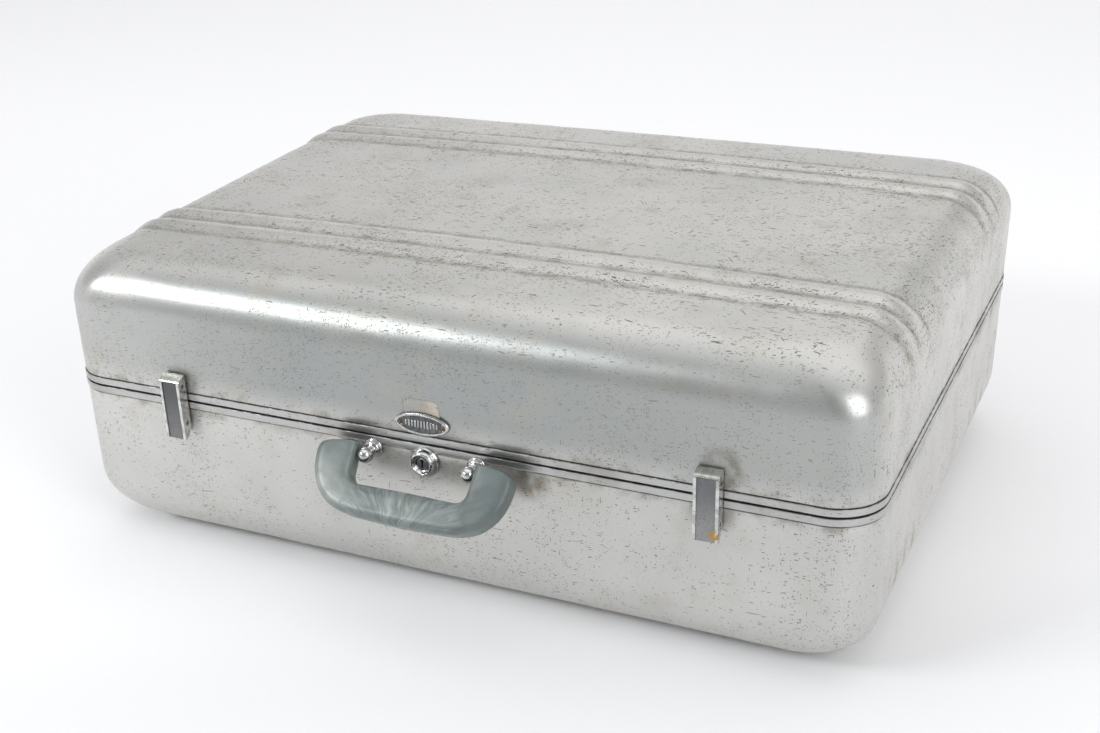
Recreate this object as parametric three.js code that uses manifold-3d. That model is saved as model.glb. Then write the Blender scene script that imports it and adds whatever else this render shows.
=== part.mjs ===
// A hard-shell aluminium travel case: two drawn shells edged by extruded rails, a rubber gasket
// between them, two rocker latches, a key lock, a bail handle on two ball posts, leaf hinges and
// folding lid stays. Millimetres, +Z up, the case lies on the ribs of its base shell and its
// front, with the handle, faces -Y.
//
// Places near the parting are written as (depth, rise): depth is how far a point stands out of
// the flat front or back of the shells, negative inside them, and rise is its height above the
// parting.
import * as THREE from "three";
import { mergeVertices } from "three/addons/utils/BufferGeometryUtils.js";
import Module from "manifold-3d";

const wasm = await Module();
wasm.setup();

// ---- Driving dimensions ------------------------------------------------------------------

const WIDTH = 610; // along X
const LENGTH = 457; // along Y, without handle and hinges
const PARTING = 126; // height of the line where the lid meets the base
const CORNER = 33; // plan radius of the vertical corners
const CORNER_GROWTH = 0.2; // the plan radius grows by this share of the inset over the edge rounds
const WALL = 2;
const GAP = 0.3; // between pieces that touch
const BASE = { side: -1, depth: 123.4, edge: 46, crown: 0 };
const LID = { side: 1, depth: 97, edge: 37, crown: 5 };

const RIB_HEIGHT = 2.6;
const RIB_WIDTH = 25;
const RIB_PAIR_Y = 124; // middle of each pair of ribs

const RAIL_BAND = 6; // the rail's outer face, above and below the parting
const RAIL_LEG = 25; // how far the rail reaches behind the shell
const SEAM = 0.7; // half of the slot between the two rails

const LATCH_X = 202.5;
const LATCH_WIDTH = 17;
const LATCH_PIVOT = { depth: 5.5, rise: -15.4 };
const LATCH_CATCH = { depth: 5.5, rise: 13.5 };
const LATCH_PIN_RADIUS = 1.2;

const LOCK_RISE = -13;
const HOOK_INNER = 12;
const HOOK_OUTER = 15;

const POST_X = 39.5;
const HANDLE_PIVOT = { depth: 13, rise: -9.5 };
const HANDLE_TILT = 40; // degrees, how far the handle stands out from hanging straight down
const HANDLE_THICKNESS = 18;
const BALL_RADIUS = 5.2;

const BADGE = { rise: 15.3, width: 41, height: 17 };

const HINGE_X = 170;
const HINGE_WIDTH = 60;
const HINGE_AXIS_DEPTH = 4.1;
const BARREL_RADIUS = 3.4;

const STAY_LENGTH = 120; // also the distance from the hinge axis to each stay's pivot
const STAY_PIVOT_RISE = 17.7; // below the parting on the base, above it on the lid

const FRONT = -1;
const BACK = 1;

// ---- Materials ---------------------------------------------------------------------------

function finish(color, roughness, metalness) {
  return new THREE.MeshStandardMaterial({ color, roughness, metalness });
}

const shellMetal = finish(0xb9b7b2, 0.42, 0.9);
const railMetal = finish(0xc4c6c6, 0.32, 1);
const plateMetal = finish(0xa9abad, 0.35, 1);
const darkPin = finish(0x4a4a48, 0.4, 1);
const chrome = finish(0xd8dadc, 0.12, 1);
const handlePlastic = finish(0x7f8b8d, 0.3, 0.1);
const rubber = finish(0x1c1c1c, 0.8, 0);
const lining = finish(0x5d6673, 0.9, 0);

// ---- Solids: closed meshes, joined and cut ------------------------------------------------

function solidFrom(geometry) {
  const plain = geometry.clone();
  plain.deleteAttribute("normal");
  plain.deleteAttribute("uv");
  const merged = mergeVertices(plain, 1e-4);
  const source = Array.from(merged.index.array);
  const corners = [];
  for (let i = 0; i < source.length; i += 3) {
    const [a, b, c] = source.slice(i, i + 3);
    if (a !== b && b !== c && c !== a) corners.push(a, b, c);
  }
  const vertProperties = merged.attributes.position.array;
  const make = (list) =>
    new wasm.Manifold(
      new wasm.Mesh({ numProp: 3, vertProperties, triVerts: new Uint32Array(list) }),
    );
  const solid = make(corners);
  if (solid.volume() > 0) return solid;
  const turned = [];
  for (let i = 0; i < corners.length; i += 3) {
    turned.push(corners[i], corners[i + 2], corners[i + 1]);
  }
  return make(turned);
}

function geometryFrom(solid) {
  const mesh = solid.getMesh();
  const geometry = new THREE.BufferGeometry();
  const places = new Float32Array(mesh.vertProperties);
  geometry.setAttribute("position", new THREE.BufferAttribute(places, 3));
  geometry.setIndex(new THREE.BufferAttribute(new Uint32Array(mesh.triVerts), 1));
  const flat = geometry.toNonIndexed();
  flat.computeVertexNormals();
  return flat;
}

function joined(solids) {
  return solids.reduce((whole, next) => whole.add(next));
}

function cut(solid, tools) {
  return tools.reduce((rest, tool) => rest.subtract(tool), solid);
}

// A straight prism on the outline [[a, b], ...], standing along the axis from low to high.
// Across X the outline is (y, z), across Y it is (x, z) and across Z it is (x, y).
function prism(axis, outline, low, high) {
  const shape = new THREE.Shape(outline.map(([a, b]) => new THREE.Vector2(a, b)));
  const depth = high - low;
  const geometry = new THREE.ExtrudeGeometry(shape, { depth, bevelEnabled: false, steps: 1 });
  const place = new THREE.Matrix4();
  if (axis === "x") place.set(0, 0, 1, low, 1, 0, 0, 0, 0, 1, 0, 0, 0, 0, 0, 1);
  if (axis === "y") place.set(1, 0, 0, 0, 0, 0, -1, high, 0, 1, 0, 0, 0, 0, 0, 1);
  if (axis === "z") place.makeTranslation(0, 0, low);
  return solidFrom(geometry.applyMatrix4(place));
}

function rod(axis, radius, low, high, centre, sides = 12) {
  const geometry = new THREE.CylinderGeometry(radius, radius, high - low, sides);
  if (axis === "x") geometry.rotateZ(Math.PI / 2);
  if (axis === "z") geometry.rotateX(Math.PI / 2);
  const middle = (low + high) / 2;
  const [a, b] = centre;
  if (axis === "x") geometry.translate(middle, a, b);
  if (axis === "y") geometry.translate(a, middle, b);
  if (axis === "z") geometry.translate(a, b, middle);
  return solidFrom(geometry);
}

// A turned piece about a line along Y through (x, parting + rise), on the front or the back.
// The profile lists [radius, depth], and ends on the line at both ends or closes on itself.
function turned(profile, x, rise, face = FRONT, sides = 12) {
  const points = profile.map(([r, depth]) => new THREE.Vector2(r, atDepth(depth, face)));
  const geometry = new THREE.LatheGeometry(points, sides);
  geometry.translate(x, 0, PARTING + rise);
  return solidFrom(geometry);
}

function atDepth(depth, face = FRONT) {
  return face * (LENGTH / 2 + depth);
}

// Depths and rises to an outline across X.
function sideOutline(points, face = FRONT) {
  return points.map(([depth, rise]) => [atDepth(depth, face), PARTING + rise]);
}

function throughFront(radius, x, rise, face = FRONT, inner = -30, sides = 8) {
  const ends = [atDepth(inner, face), atDepth(30, face)].sort((a, b) => a - b);
  return rod("y", radius, ends[0], ends[1], [x, PARTING + rise], sides);
}

// ---- Shells --------------------------------------------------------------------------------

// A rectangle with round corners as a closed list of points, always with the same count.
function planLoop(halfX, halfY, radius) {
  const cornerSteps = 4;
  const points = [];
  const corners = [
    [1, 1, 0],
    [-1, 1, 90],
    [-1, -1, 180],
    [1, -1, 270],
  ];
  for (const [sx, sy, start] of corners) {
    const cx = sx * (halfX - radius);
    const cy = sy * (halfY - radius);
    for (let i = 0; i <= cornerSteps; i += 1) {
      const angle = THREE.MathUtils.degToRad(start + (90 * i) / cornerSteps);
      points.push([cx + radius * Math.cos(angle), cy + radius * Math.sin(angle)]);
    }
  }
  const withSides = [];
  points.forEach((point, i) => {
    withSides.push(point);
    if (i % (cornerSteps + 1) !== cornerSteps) return;
    const next = points[(i + 1) % points.length];
    const parts = runsAlongX(next, point) ? 3 : 2;
    for (let k = 1; k < parts; k += 1) {
      const t = k / parts;
      withSides.push([point[0] * (1 - t) + next[0] * t, point[1] * (1 - t) + next[1] * t]);
    }
  });
  return withSides;
}

function runsAlongX(next, point) {
  return Math.abs(next[0] - point[0]) > Math.abs(next[1] - point[1]);
}

const EDGE_STEPS = 4;
const PANEL_RING = 110; // inset of the loop inside the panel's edge

// How far the crowned panel stands above its edge, for a point at that share of the depth.
function crownAt(half, share, x, y) {
  const across = Math.max(0, 1 - (x / (WIDTH / 2)) ** 2);
  const along = Math.max(0, 1 - (y / (LENGTH / 2)) ** 2);
  return half.crown * share ** 3 * across * along;
}

// The loops of one skin of a shell, from its open edge to its panel, at that offset inside the
// outer skin.
function skinLoops(half, offset, openEdge) {
  const loops = [];
  const add = (inset, rise, radius) => {
    const plan = planLoop(WIDTH / 2 - inset, LENGTH / 2 - inset, radius);
    const share = rise / half.depth;
    loops.push(
      plan.map(([x, y]) => {
        const lift = rise + crownAt(half, share, x, y);
        return new THREE.Vector3(x, y, PARTING + half.side * lift);
      }),
    );
  };
  add(offset, openEdge, CORNER - offset);
  for (let i = 0; i <= EDGE_STEPS; i += 1) {
    const angle = (Math.PI / 2) * (i / EDGE_STEPS);
    const outerInset = half.edge * (1 - Math.cos(angle));
    const round = half.edge - offset;
    const inset = half.edge - round * Math.cos(angle);
    const rise = half.depth - half.edge + round * Math.sin(angle);
    add(inset, rise, CORNER + CORNER_GROWTH * outerInset - offset);
  }
  add(PANEL_RING, half.depth - offset, CORNER + CORNER_GROWTH * half.edge + 12);
  const middle = half.depth - offset + crownAt(half, 1 - offset / half.depth, 0, 0);
  loops.push([new THREE.Vector3(0, 0, PARTING + half.side * middle)]);
  return loops;
}

// A closed body from loops that follow each other; a loop of one point closes the skin.
function bodyFromLoops(loops, closesOnItself) {
  const places = [];
  const starts = loops.map((loop) => {
    const start = places.length / 3;
    loop.forEach((p) => places.push(p.x, p.y, p.z));
    return start;
  });
  const triangles = [];
  const last = closesOnItself ? loops.length : loops.length - 1;
  for (let k = 0; k < last; k += 1) {
    const next = (k + 1) % loops.length;
    const a = loops[k].length;
    const b = loops[next].length;
    if (a === 1 && b === 1) continue;
    const count = Math.max(a, b);
    for (let i = 0; i < count; i += 1) {
      const j = (i + 1) % count;
      const a0 = starts[k] + (a === 1 ? 0 : i);
      const a1 = starts[k] + (a === 1 ? 0 : j);
      const b0 = starts[next] + (b === 1 ? 0 : i);
      const b1 = starts[next] + (b === 1 ? 0 : j);
      if (a0 !== a1) triangles.push(a0, a1, b1);
      if (b0 !== b1) triangles.push(a0, b1, b0);
    }
  }
  const geometry = new THREE.BufferGeometry();
  geometry.setAttribute("position", new THREE.Float32BufferAttribute(places, 3));
  geometry.setIndex(triangles);
  return solidFrom(geometry);
}

// A dish between two offsets from the outer skin.
function dish(half, outerOffset, innerOffset, openEdge) {
  const outer = skinLoops(half, outerOffset, openEdge);
  const inner = skinLoops(half, innerOffset, openEdge);
  return bodyFromLoops([...outer.reverse(), ...inner], false);
}

// One pressed rib: it runs along X over the panel and fades out down both end rounds.
function rib(half, middleY) {
  const section = [
    [-RIB_WIDTH / 2, -0.5],
    [-RIB_WIDTH / 2 + 3.5, 0.4 * RIB_HEIGHT],
    [-4, RIB_HEIGHT],
    [4, RIB_HEIGHT],
    [RIB_WIDTH / 2 - 3.5, 0.4 * RIB_HEIGHT],
    [RIB_WIDTH / 2, -0.5],
    [RIB_WIDTH / 2 - 1, -1.2],
    [-RIB_WIDTH / 2 + 1, -1.2],
  ];
  const stations = [];
  for (let i = 0; i <= EDGE_STEPS; i += 1) {
    const angle = (Math.PI / 2) * (i / EDGE_STEPS);
    stations.push({ inset: half.edge * (1 - Math.cos(angle)), angle, fade: i / EDGE_STEPS });
  }
  for (const inset of [PANEL_RING, 2 * PANEL_RING]) stations.push({ inset, angle: Math.PI / 2, fade: 1 });
  const mirrored = stations.map((s) => ({ ...s, mirrored: true })).reverse();
  const loops = [...stations, ...mirrored].map(({ inset, angle, fade, mirrored: far }) =>
    section.map(([dy, height]) => {
      const grown = height > 0 ? height * fade : height;
      const y = middleY + dy;
      const side = far ? -1 : 1;
      const x = WIDTH / 2 - inset + grown * Math.cos(angle);
      const flat = half.depth - half.edge * (1 - Math.sin(angle));
      const rise = flat + crownAt(half, flat / half.depth, x, y) + grown * Math.sin(angle);
      return new THREE.Vector3(side * x, y, PARTING + half.side * rise);
    }),
  );
  return bodyWithCaps(loops);
}

// A closed body from loops of equal count, with a flat cap at each end.
function bodyWithCaps(loops) {
  const middle = (loop) => {
    const sum = new THREE.Vector3();
    loop.forEach((p) => sum.add(p));
    return [sum.divideScalar(loop.length)];
  };
  return bodyFromLoops([middle(loops[0]), ...loops, middle(loops[loops.length - 1])], false);
}

function ribbedShell(half) {
  const ribs = [];
  for (const pair of [-RIB_PAIR_Y, RIB_PAIR_Y]) {
    for (const side of [-1, 1]) ribs.push(rib(half, pair + (side * RIB_WIDTH) / 2));
  }
  return joined([dish(half, 0, WALL, RAIL_BAND + GAP), ...ribs]);
}

// A ring round the whole parting from a section of [inset, rise] points.
function parting(section) {
  const loops = section.map(([inset, rise]) => {
    const plan = planLoop(WIDTH / 2 - inset, LENGTH / 2 - inset, CORNER - inset);
    return plan.map(([x, y]) => new THREE.Vector3(x, y, PARTING + rise));
  });
  return bodyFromLoops(loops, true);
}

const RAIL_PROUD = -0.4;
const LEG_OUTER = 2.5;
const LEG_INNER = 4;
const FLANGE = 3;
const LIP_OUTER = 7.5;
const LIP_INNER = 8.7;
const LIP_RISE = 4;
const GROOVE = { from: 2.2, to: 5.8, floor: -1.9 };

function baseRail() {
  return parting([
    [RAIL_PROUD, -RAIL_BAND],
    [LEG_OUTER, -RAIL_BAND],
    [LEG_OUTER, -RAIL_LEG],
    [LEG_INNER, -RAIL_LEG],
    [LEG_INNER, -FLANGE],
    [LIP_INNER, -FLANGE],
    [LIP_INNER, LIP_RISE],
    [LIP_OUTER, LIP_RISE],
    [LIP_OUTER, -SEAM],
    [GROOVE.to, -SEAM],
    [GROOVE.to, GROOVE.floor],
    [GROOVE.from, GROOVE.floor],
    [GROOVE.from, -SEAM],
    [RAIL_PROUD, -SEAM],
  ]);
}

function lidRail() {
  return parting([
    [RAIL_PROUD, RAIL_BAND],
    [LEG_OUTER, RAIL_BAND],
    [LEG_OUTER, RAIL_LEG],
    [LEG_INNER, RAIL_LEG],
    [LEG_INNER, FLANGE],
    [LIP_OUTER - 0.5, FLANGE],
    [LIP_OUTER - 0.5, SEAM],
    [RAIL_PROUD, SEAM],
  ]);
}

function gasketRing() {
  const top = SEAM - GAP;
  return parting([
    [GROOVE.from + GAP, GROOVE.floor + GAP],
    [GROOVE.to - GAP, GROOVE.floor + GAP],
    [GROOVE.to - GAP, top],
    [GROOVE.from + GAP, top],
  ]);
}

function liner(half) {
  return dish(half, WALL + 1, WALL + 2.2, RAIL_LEG + 1);
}

// ---- Fasteners -----------------------------------------------------------------------------

const RIVET_HOLE = 1.4;

// A rivet through a plate, the shell and the rail's leg. The plate's outer face is at plate.
function rivet(x, rise, plate, face, headRadius = 2.3) {
  const tail = -LEG_INNER - 0.4;
  const head = plate + GAP;
  return turned(
    [
      [0, tail - 1.1],
      [2, tail - 1.1],
      [2, tail],
      [1.1, tail],
      [1.1, head],
      [headRadius, head],
      [0.6 * headRadius, head + 1],
      [0, head + 1.2],
    ],
    x,
    rise,
    face,
    8,
  );
}

const PLATE_BACK = 0.7; // a fitting's plate stands clear of the rail, which is 0.4 proud

// ---- Latches -------------------------------------------------------------------------------

const BRACKET_PLATE = 1.9;
const BRACKET_RIVETS = [-10.5, -21];
const KEEPER_RIVET = LATCH_CATCH.rise;

// A U-shaped bracket on the base; its two ears hold the pin that the lever rocks on.
function latchBracket(x) {
  const plate = prism("x", sideOutline([
    [PLATE_BACK, -24],
    [BRACKET_PLATE, -24],
    [BRACKET_PLATE, -7.5],
    [PLATE_BACK, -7.5],
  ]), x - 6.2, x + 6.2);
  const earOutline = sideOutline([
    [PLATE_BACK, -20],
    [4.5, -19.2],
    [7.4, -17],
    [7.4, -13.6],
    [4.5, -11.2],
    [PLATE_BACK, -10.4],
  ]);
  const ears = [-1, 1].map((side) => {
    const edges = [x + side * 5.1, x + side * 6.2].sort((a, b) => a - b);
    return prism("x", earOutline, edges[0], edges[1]);
  });
  const pivot = [atDepth(LATCH_PIVOT.depth), PARTING + LATCH_PIVOT.rise];
  const bore = rod("x", LATCH_PIN_RADIUS + 0.2, x - 9, x + 9, pivot);
  const holes = BRACKET_RIVETS.map((rise) => throughFront(RIVET_HOLE, x, rise));
  return cut(joined([plate, ...ears]), [bore, ...holes]);
}

// The lever is one folded channel: a face plate set back between two flanges, a sloped cap over
// the top, and a tail cut away below the pivot so that it can swing in.
function latchLever(x) {
  const half = LATCH_WIDTH / 2;
  const outline = [
    [1.2, -18.5],
    [4.6, -24.6],
    [7.6, -27.6],
    [9.4, -27.6],
    [10, -27],
    [10, 17.2],
    [8.6, 19],
    [1.2, 21.5],
  ];
  const channel = [
    [0, -30],
    [8, -30],
    [8, 16.6],
    [1.2, 20],
    [0, 20],
  ];
  const face = [
    [9.1, -30],
    [12, -30],
    [12, 16.4],
    [9.1, 17.4],
  ];
  const inner = half - 1.5;
  const pin = (at) => rod(
    "x",
    LATCH_PIN_RADIUS + 0.2,
    x - half - 1,
    x + half + 1,
    [atDepth(at.depth), PARTING + at.rise],
    16,
  );
  return cut(prism("x", sideOutline(outline), x - half, x + half), [
    prism("x", sideOutline(channel), x - inner, x + inner),
    prism("x", sideOutline(face), x - half + 2.2, x + half - 2.2),
    pin(LATCH_PIVOT),
    pin(LATCH_CATCH),
  ]);
}

function latchPin(x, at) {
  const half = LATCH_WIDTH / 2;
  return rod("x", LATCH_PIN_RADIUS, x - half, x + half, [atDepth(at.depth), PARTING + at.rise]);
}

// The spring keeper on the lid: its open jaw holds the lever's upper pin.
function latchKeeper(x) {
  const { depth, rise } = LATCH_CATCH;
  const profile = [
    [PLATE_BACK, 7.4],
    [BRACKET_PLATE, 7.4],
    [BRACKET_PLATE, rise - 2.9],
    [depth + 0.9, rise - 2.6],
    [depth + 1.4, rise - 1.7],
    [depth - 1, rise - 1.7],
    [BRACKET_PLATE, rise - 1.9],
    [BRACKET_PLATE, rise + 1.9],
    [depth - 1, rise + 1.7],
    [depth + 1.4, rise + 1.7],
    [depth + 0.9, rise + 2.6],
    [BRACKET_PLATE, rise + 2.9],
    [BRACKET_PLATE, 18.6],
    [PLATE_BACK, 18.6],
  ];
  const body = prism("x", sideOutline(profile), x - 4.5, x + 4.5);
  return cut(body, [throughFront(RIVET_HOLE, x, KEEPER_RIVET)]);
}

// ---- Lock ----------------------------------------------------------------------------------

const NECK_RADIUS = 6.2;
const PLUG_RADIUS = 4.6;
const CAM = { outer: -9.5, inner: -11.5 };

function lockCollar() {
  const neck = NECK_RADIUS;
  const bore = PLUG_RADIUS + GAP;
  return turned(
    [
      [bore, -8.2],
      [neck, -8.2],
      [neck, PLATE_BACK],
      [11, PLATE_BACK],
      [11, 1.7],
      [8.8, 6.2],
      [7.8, 7],
      [6.9, 7],
      [5.7, 4.7],
      [bore, 4.7],
      [bore, -8.2],
    ],
    0,
    LOCK_RISE,
    FRONT,
    20,
  );
}

function hexNut(x, rise, radius, bore, thickness) {
  const outer = -LEG_INNER - GAP;
  const body = rod("y", radius, atDepth(outer), atDepth(outer - thickness), [x, PARTING + rise], 6);
  return cut(body, [throughFront(bore, x, rise, FRONT, -30, 20)]);
}

function lockPlug() {
  const barrel = turned(
    [
      [0, -12.6],
      [3, -12.6],
      [3, -9],
      [PLUG_RADIUS, -9],
      [PLUG_RADIUS, 4.4],
      [PLUG_RADIUS - 0.5, 4.8],
      [0, 4.8],
    ],
    0,
    LOCK_RISE,
    FRONT,
    16,
  );
  const keyway = prism("y", [
    [-0.7, PARTING + LOCK_RISE - 3],
    [0.7, PARTING + LOCK_RISE - 3],
    [0.7, PARTING + LOCK_RISE + 3],
    [-0.7, PARTING + LOCK_RISE + 3],
  ], atDepth(6), atDepth(1.5));
  return cut(barrel, [keyway]);
}

// A hook that turns about the plug: its arc slides through the strike's jaw as the key turns.
function lockCam() {
  const centre = new THREE.Vector2(0, PARTING + LOCK_RISE);
  const on = (radius, degrees) => {
    const angle = THREE.MathUtils.degToRad(degrees);
    return [centre.x + radius * Math.cos(angle), centre.y + radius * Math.sin(angle)];
  };
  const arc = [];
  for (let degrees = 100; degrees <= 177; degrees += 11) arc.push(on(HOOK_OUTER, degrees));
  for (let degrees = 177; degrees >= 100; degrees -= 11) arc.push(on(HOOK_INNER, degrees));
  const arm = [on(4, 158), on(HOOK_INNER + 1, 165), on(HOOK_INNER + 1, 177), on(4, 195)];
  const low = atDepth(CAM.outer);
  const high = atDepth(CAM.inner);
  const hub = rod("y", 6.5, low, high, [centre.x, centre.y], 16);
  const hook = joined([hub, prism("y", arc, low, high), prism("y", arm, low, high)]);
  return cut(hook, [rod("y", 3 + GAP, low - 1, high + 1, [centre.x, centre.y], 16)]);
}

// The strike is welded to the lid rail's leg and hangs behind the base rail's lip.
function lockStrike() {
  const foot = prism("x", sideOutline([
    [-LEG_INNER - GAP, 5],
    [-5.8, 5],
    [-5.8, 20],
    [-LEG_INNER - GAP, 20],
  ]), -7, 7);
  const jaw = prism("x", sideOutline([
    [-LEG_INNER - GAP, 5],
    [-12.2, 5],
    [-12.2, -1.8],
    [-9.3, -1.8],
    [-9.3, -4.4],
    [-14, -4.4],
    [-14, 7],
    [-LEG_INNER - GAP, 7],
  ]), -1.5, 1.5);
  return foot.add(jaw);
}

// ---- Handle --------------------------------------------------------------------------------

const POST_SHANK = 2.5;
const HANDLE_PIN = 1.8;

// A stepped rose, a neck and a ball turned in one piece; the handle's pin sits across the ball.
function handlePost(side) {
  const ball = [];
  for (let i = 2; i >= -4; i -= 1) {
    const angle = (Math.PI / 2) * (-i / 4);
    ball.push([BALL_RADIUS * Math.cos(angle), HANDLE_PIVOT.depth + BALL_RADIUS * Math.sin(angle)]);
  }
  ball[ball.length - 1][0] = 0;
  const post = turned(
    [
      [0, -8.6],
      [POST_SHANK, -8.6],
      [POST_SHANK, PLATE_BACK],
      [7, PLATE_BACK],
      [7, 1.6],
      [5.6, 2.4],
      [5.6, 4],
      [3.4, 5.4],
      ...ball,
    ],
    side * POST_X,
    HANDLE_PIVOT.rise,
    FRONT,
    12,
  );
  const ends = [side * POST_X, side * (POST_X + 8)].sort((a, b) => a - b);
  const across = [atDepth(HANDLE_PIVOT.depth), PARTING + HANDLE_PIVOT.rise];
  return cut(post, [rod("x", HANDLE_PIN + 0.2, ends[0], ends[1], across)]);
}

function handlePin(side) {
  const ends = [side * (POST_X + 0.5), side * 60].sort((a, b) => a - b);
  const across = [atDepth(HANDLE_PIVOT.depth), PARTING + HANDLE_PIVOT.rise];
  return rod("x", HANDLE_PIN, ends[0], ends[1], across);
}

// The grip's outline seen square on, with its pivot at the origin and hanging down.
function gripOutline() {
  const shape = new THREE.Shape();
  shape.moveTo(-45.5, 4.5);
  shape.lineTo(-68.5, 0.5);
  shape.quadraticCurveTo(-74, -1.5, -74.2, -7);
  shape.quadraticCurveTo(-73.5, -27, -57, -38);
  shape.quadraticCurveTo(-48, -43.6, -34, -44.6);
  shape.lineTo(0, -45.6);
  shape.lineTo(34, -44.6);
  shape.quadraticCurveTo(48, -43.6, 57, -38);
  shape.quadraticCurveTo(73.5, -27, 74.2, -7);
  shape.quadraticCurveTo(74, -1.5, 68.5, 0.5);
  shape.lineTo(45.5, 4.5);
  shape.lineTo(45.5, -14.5);
  shape.quadraticCurveTo(44.5, -24.5, 34, -24.3);
  shape.lineTo(0, -23.3);
  shape.lineTo(-34, -24.3);
  shape.quadraticCurveTo(-44.5, -24.5, -45.5, -14.5);
  shape.closePath();
  return shape;
}

function handleGrip() {
  const round = 3;
  const geometry = new THREE.ExtrudeGeometry(gripOutline(), {
    depth: HANDLE_THICKNESS - 2 * round,
    bevelThickness: round,
    bevelSize: round,
    bevelOffset: -round,
    bevelSegments: 2,
    curveSegments: 4,
  });
  geometry.translate(0, 0, round - HANDLE_THICKNESS / 2);
  const grip = solidFrom(geometry);
  const bore = HANDLE_PIN + 0.2;
  const bores = [rod("x", bore, -62, -40, [0, 0]), rod("x", bore, 40, 62, [0, 0])];
  const placed = geometryFrom(cut(grip, bores));
  placed.rotateX(THREE.MathUtils.degToRad(90 - HANDLE_TILT));
  placed.translate(0, atDepth(HANDLE_PIVOT.depth), PARTING + HANDLE_PIVOT.rise);
  return solidFrom(placed);
}

// ---- Badge ---------------------------------------------------------------------------------

const BADGE_PIN_X = 16.8;

function ovalPrism(width, height, from, to) {
  const shape = new THREE.Shape();
  shape.absellipse(0, PARTING + BADGE.rise, width / 2, height / 2, 0, 2 * Math.PI);
  const points = shape.getPoints(16).slice(0, -1);
  return prism("y", points.map((p) => [p.x, p.y]), atDepth(to), atDepth(from));
}

function nameBadge() {
  const holes = [-1, 1].map((side) => throughFront(1.4, side * BADGE_PIN_X, BADGE.rise));
  return cut(ovalPrism(BADGE.width, BADGE.height, GAP, 2.4), [
    ovalPrism(BADGE.width - 12, BADGE.height - 5, 1.8, 4),
    ...holes,
  ]);
}

function badgePin(side) {
  return turned(
    [
      [0, -1.8],
      [1.1, -1.8],
      [1.1, 2.7],
      [1.9, 2.7],
      [1.2, 3.4],
      [0, 3.5],
    ],
    side * BADGE_PIN_X,
    BADGE.rise,
    FRONT,
    10,
  );
}

// ---- Hinges --------------------------------------------------------------------------------

const LEAF_FACE = 2.2;
const LEAF_RIVET_X = 20;
const LEAF_RIVET_RISE = 13;
const HINGE_PIN_RADIUS = 1.5;

// One leaf: a plate on the shell's back and its share of the knuckles round the pin.
function hingeLeaf(x, half) {
  const face = BACK;
  const side = half.side;
  const plateEnd = 22;
  const barrelGap = BARREL_RADIUS + 0.6;
  const strip = (from, to, low, high) =>
    prism("x", sideOutline([
      [PLATE_BACK, side * low],
      [LEAF_FACE, side * low],
      [LEAF_FACE, side * high],
      [PLATE_BACK, side * high],
    ], face), from, to);
  const axis = [atDepth(HINGE_AXIS_DEPTH, face), PARTING];
  const pieces = [strip(x - HINGE_WIDTH / 2, x + HINGE_WIDTH / 2, barrelGap, plateEnd)];
  const step = HINGE_WIDTH / 5;
  for (let i = 0; i < 5; i += 1) {
    if ((i % 2 === 0) !== (side < 0)) continue;
    const from = x - HINGE_WIDTH / 2 + i * step + GAP / 2;
    const to = from + step - GAP;
    pieces.push(rod("x", BARREL_RADIUS, from, to, axis, 12));
    pieces.push(strip(from, to, 0, barrelGap + 1));
  }
  const bore = rod("x", HINGE_PIN_RADIUS + 0.2, x - 40, x + 40, axis, 12);
  const holes = [-1, 1].map((end) =>
    throughFront(RIVET_HOLE, x + end * LEAF_RIVET_X, side * LEAF_RIVET_RISE, face),
  );
  return cut(joined(pieces), [bore, ...holes]);
}

function hingePin(x) {
  const axis = [atDepth(HINGE_AXIS_DEPTH, BACK), PARTING];
  const reach = HINGE_WIDTH / 2 + 0.2;
  return joined([
    rod("x", HINGE_PIN_RADIUS, x - reach - 0.5, x + reach + 0.5, axis),
    rod("x", 2.4, x + reach, x + reach + 1.2, axis),
    rod("x", 2.4, x - reach - 1.2, x - reach, axis),
  ]);
}

// ---- Lid stays -----------------------------------------------------------------------------

const STAY_RADIUS = 2; // of the stays' pivots
const LOWER_STAY = { outer: 10.5, inner: 12.3 }; // insets from the shell's end
const UPPER_STAY = { outer: 12.9, inner: 14.7 };

// The four pivots of the folding frame, as (y, z): all its sides are STAY_LENGTH long.
const stayAxis = new THREE.Vector2(atDepth(HINGE_AXIS_DEPTH, BACK), PARTING);
const stayRun = Math.sqrt(STAY_LENGTH ** 2 - STAY_PIVOT_RISE ** 2);
const stayOnBase = new THREE.Vector2(stayAxis.x - stayRun, PARTING - STAY_PIVOT_RISE);
const stayOnLid = new THREE.Vector2(stayAxis.x - stayRun, PARTING + STAY_PIVOT_RISE);
const stayElbow = stayOnBase.clone().add(stayOnLid).sub(stayAxis);

function link(side, plane, from, to) {
  const across = to.clone().sub(from).normalize();
  const points = [];
  const radius = 6;
  for (const [end, start] of [[to, -90], [from, 90]]) {
    for (let degrees = start; degrees <= start + 180; degrees += 30) {
      const turn = across.clone().rotateAround(new THREE.Vector2(), (degrees * Math.PI) / 180);
      points.push([end.x + radius * turn.x, end.y + radius * turn.y]);
    }
  }
  const [low, high] = endsAt(side, plane.outer, plane.inner);
  return prism("x", points, low, high);
}

// Two insets from an end of the case, as X from low to high.
function endsAt(side, outer, inner) {
  return [side * (WIDTH / 2 - outer), side * (WIDTH / 2 - inner)].sort((a, b) => a - b);
}

function pivotRod(side, radius, outer, inner, at) {
  const [low, high] = endsAt(side, outer, inner);
  return rod("x", radius, low, high, [at.x, at.y]);
}

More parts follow.
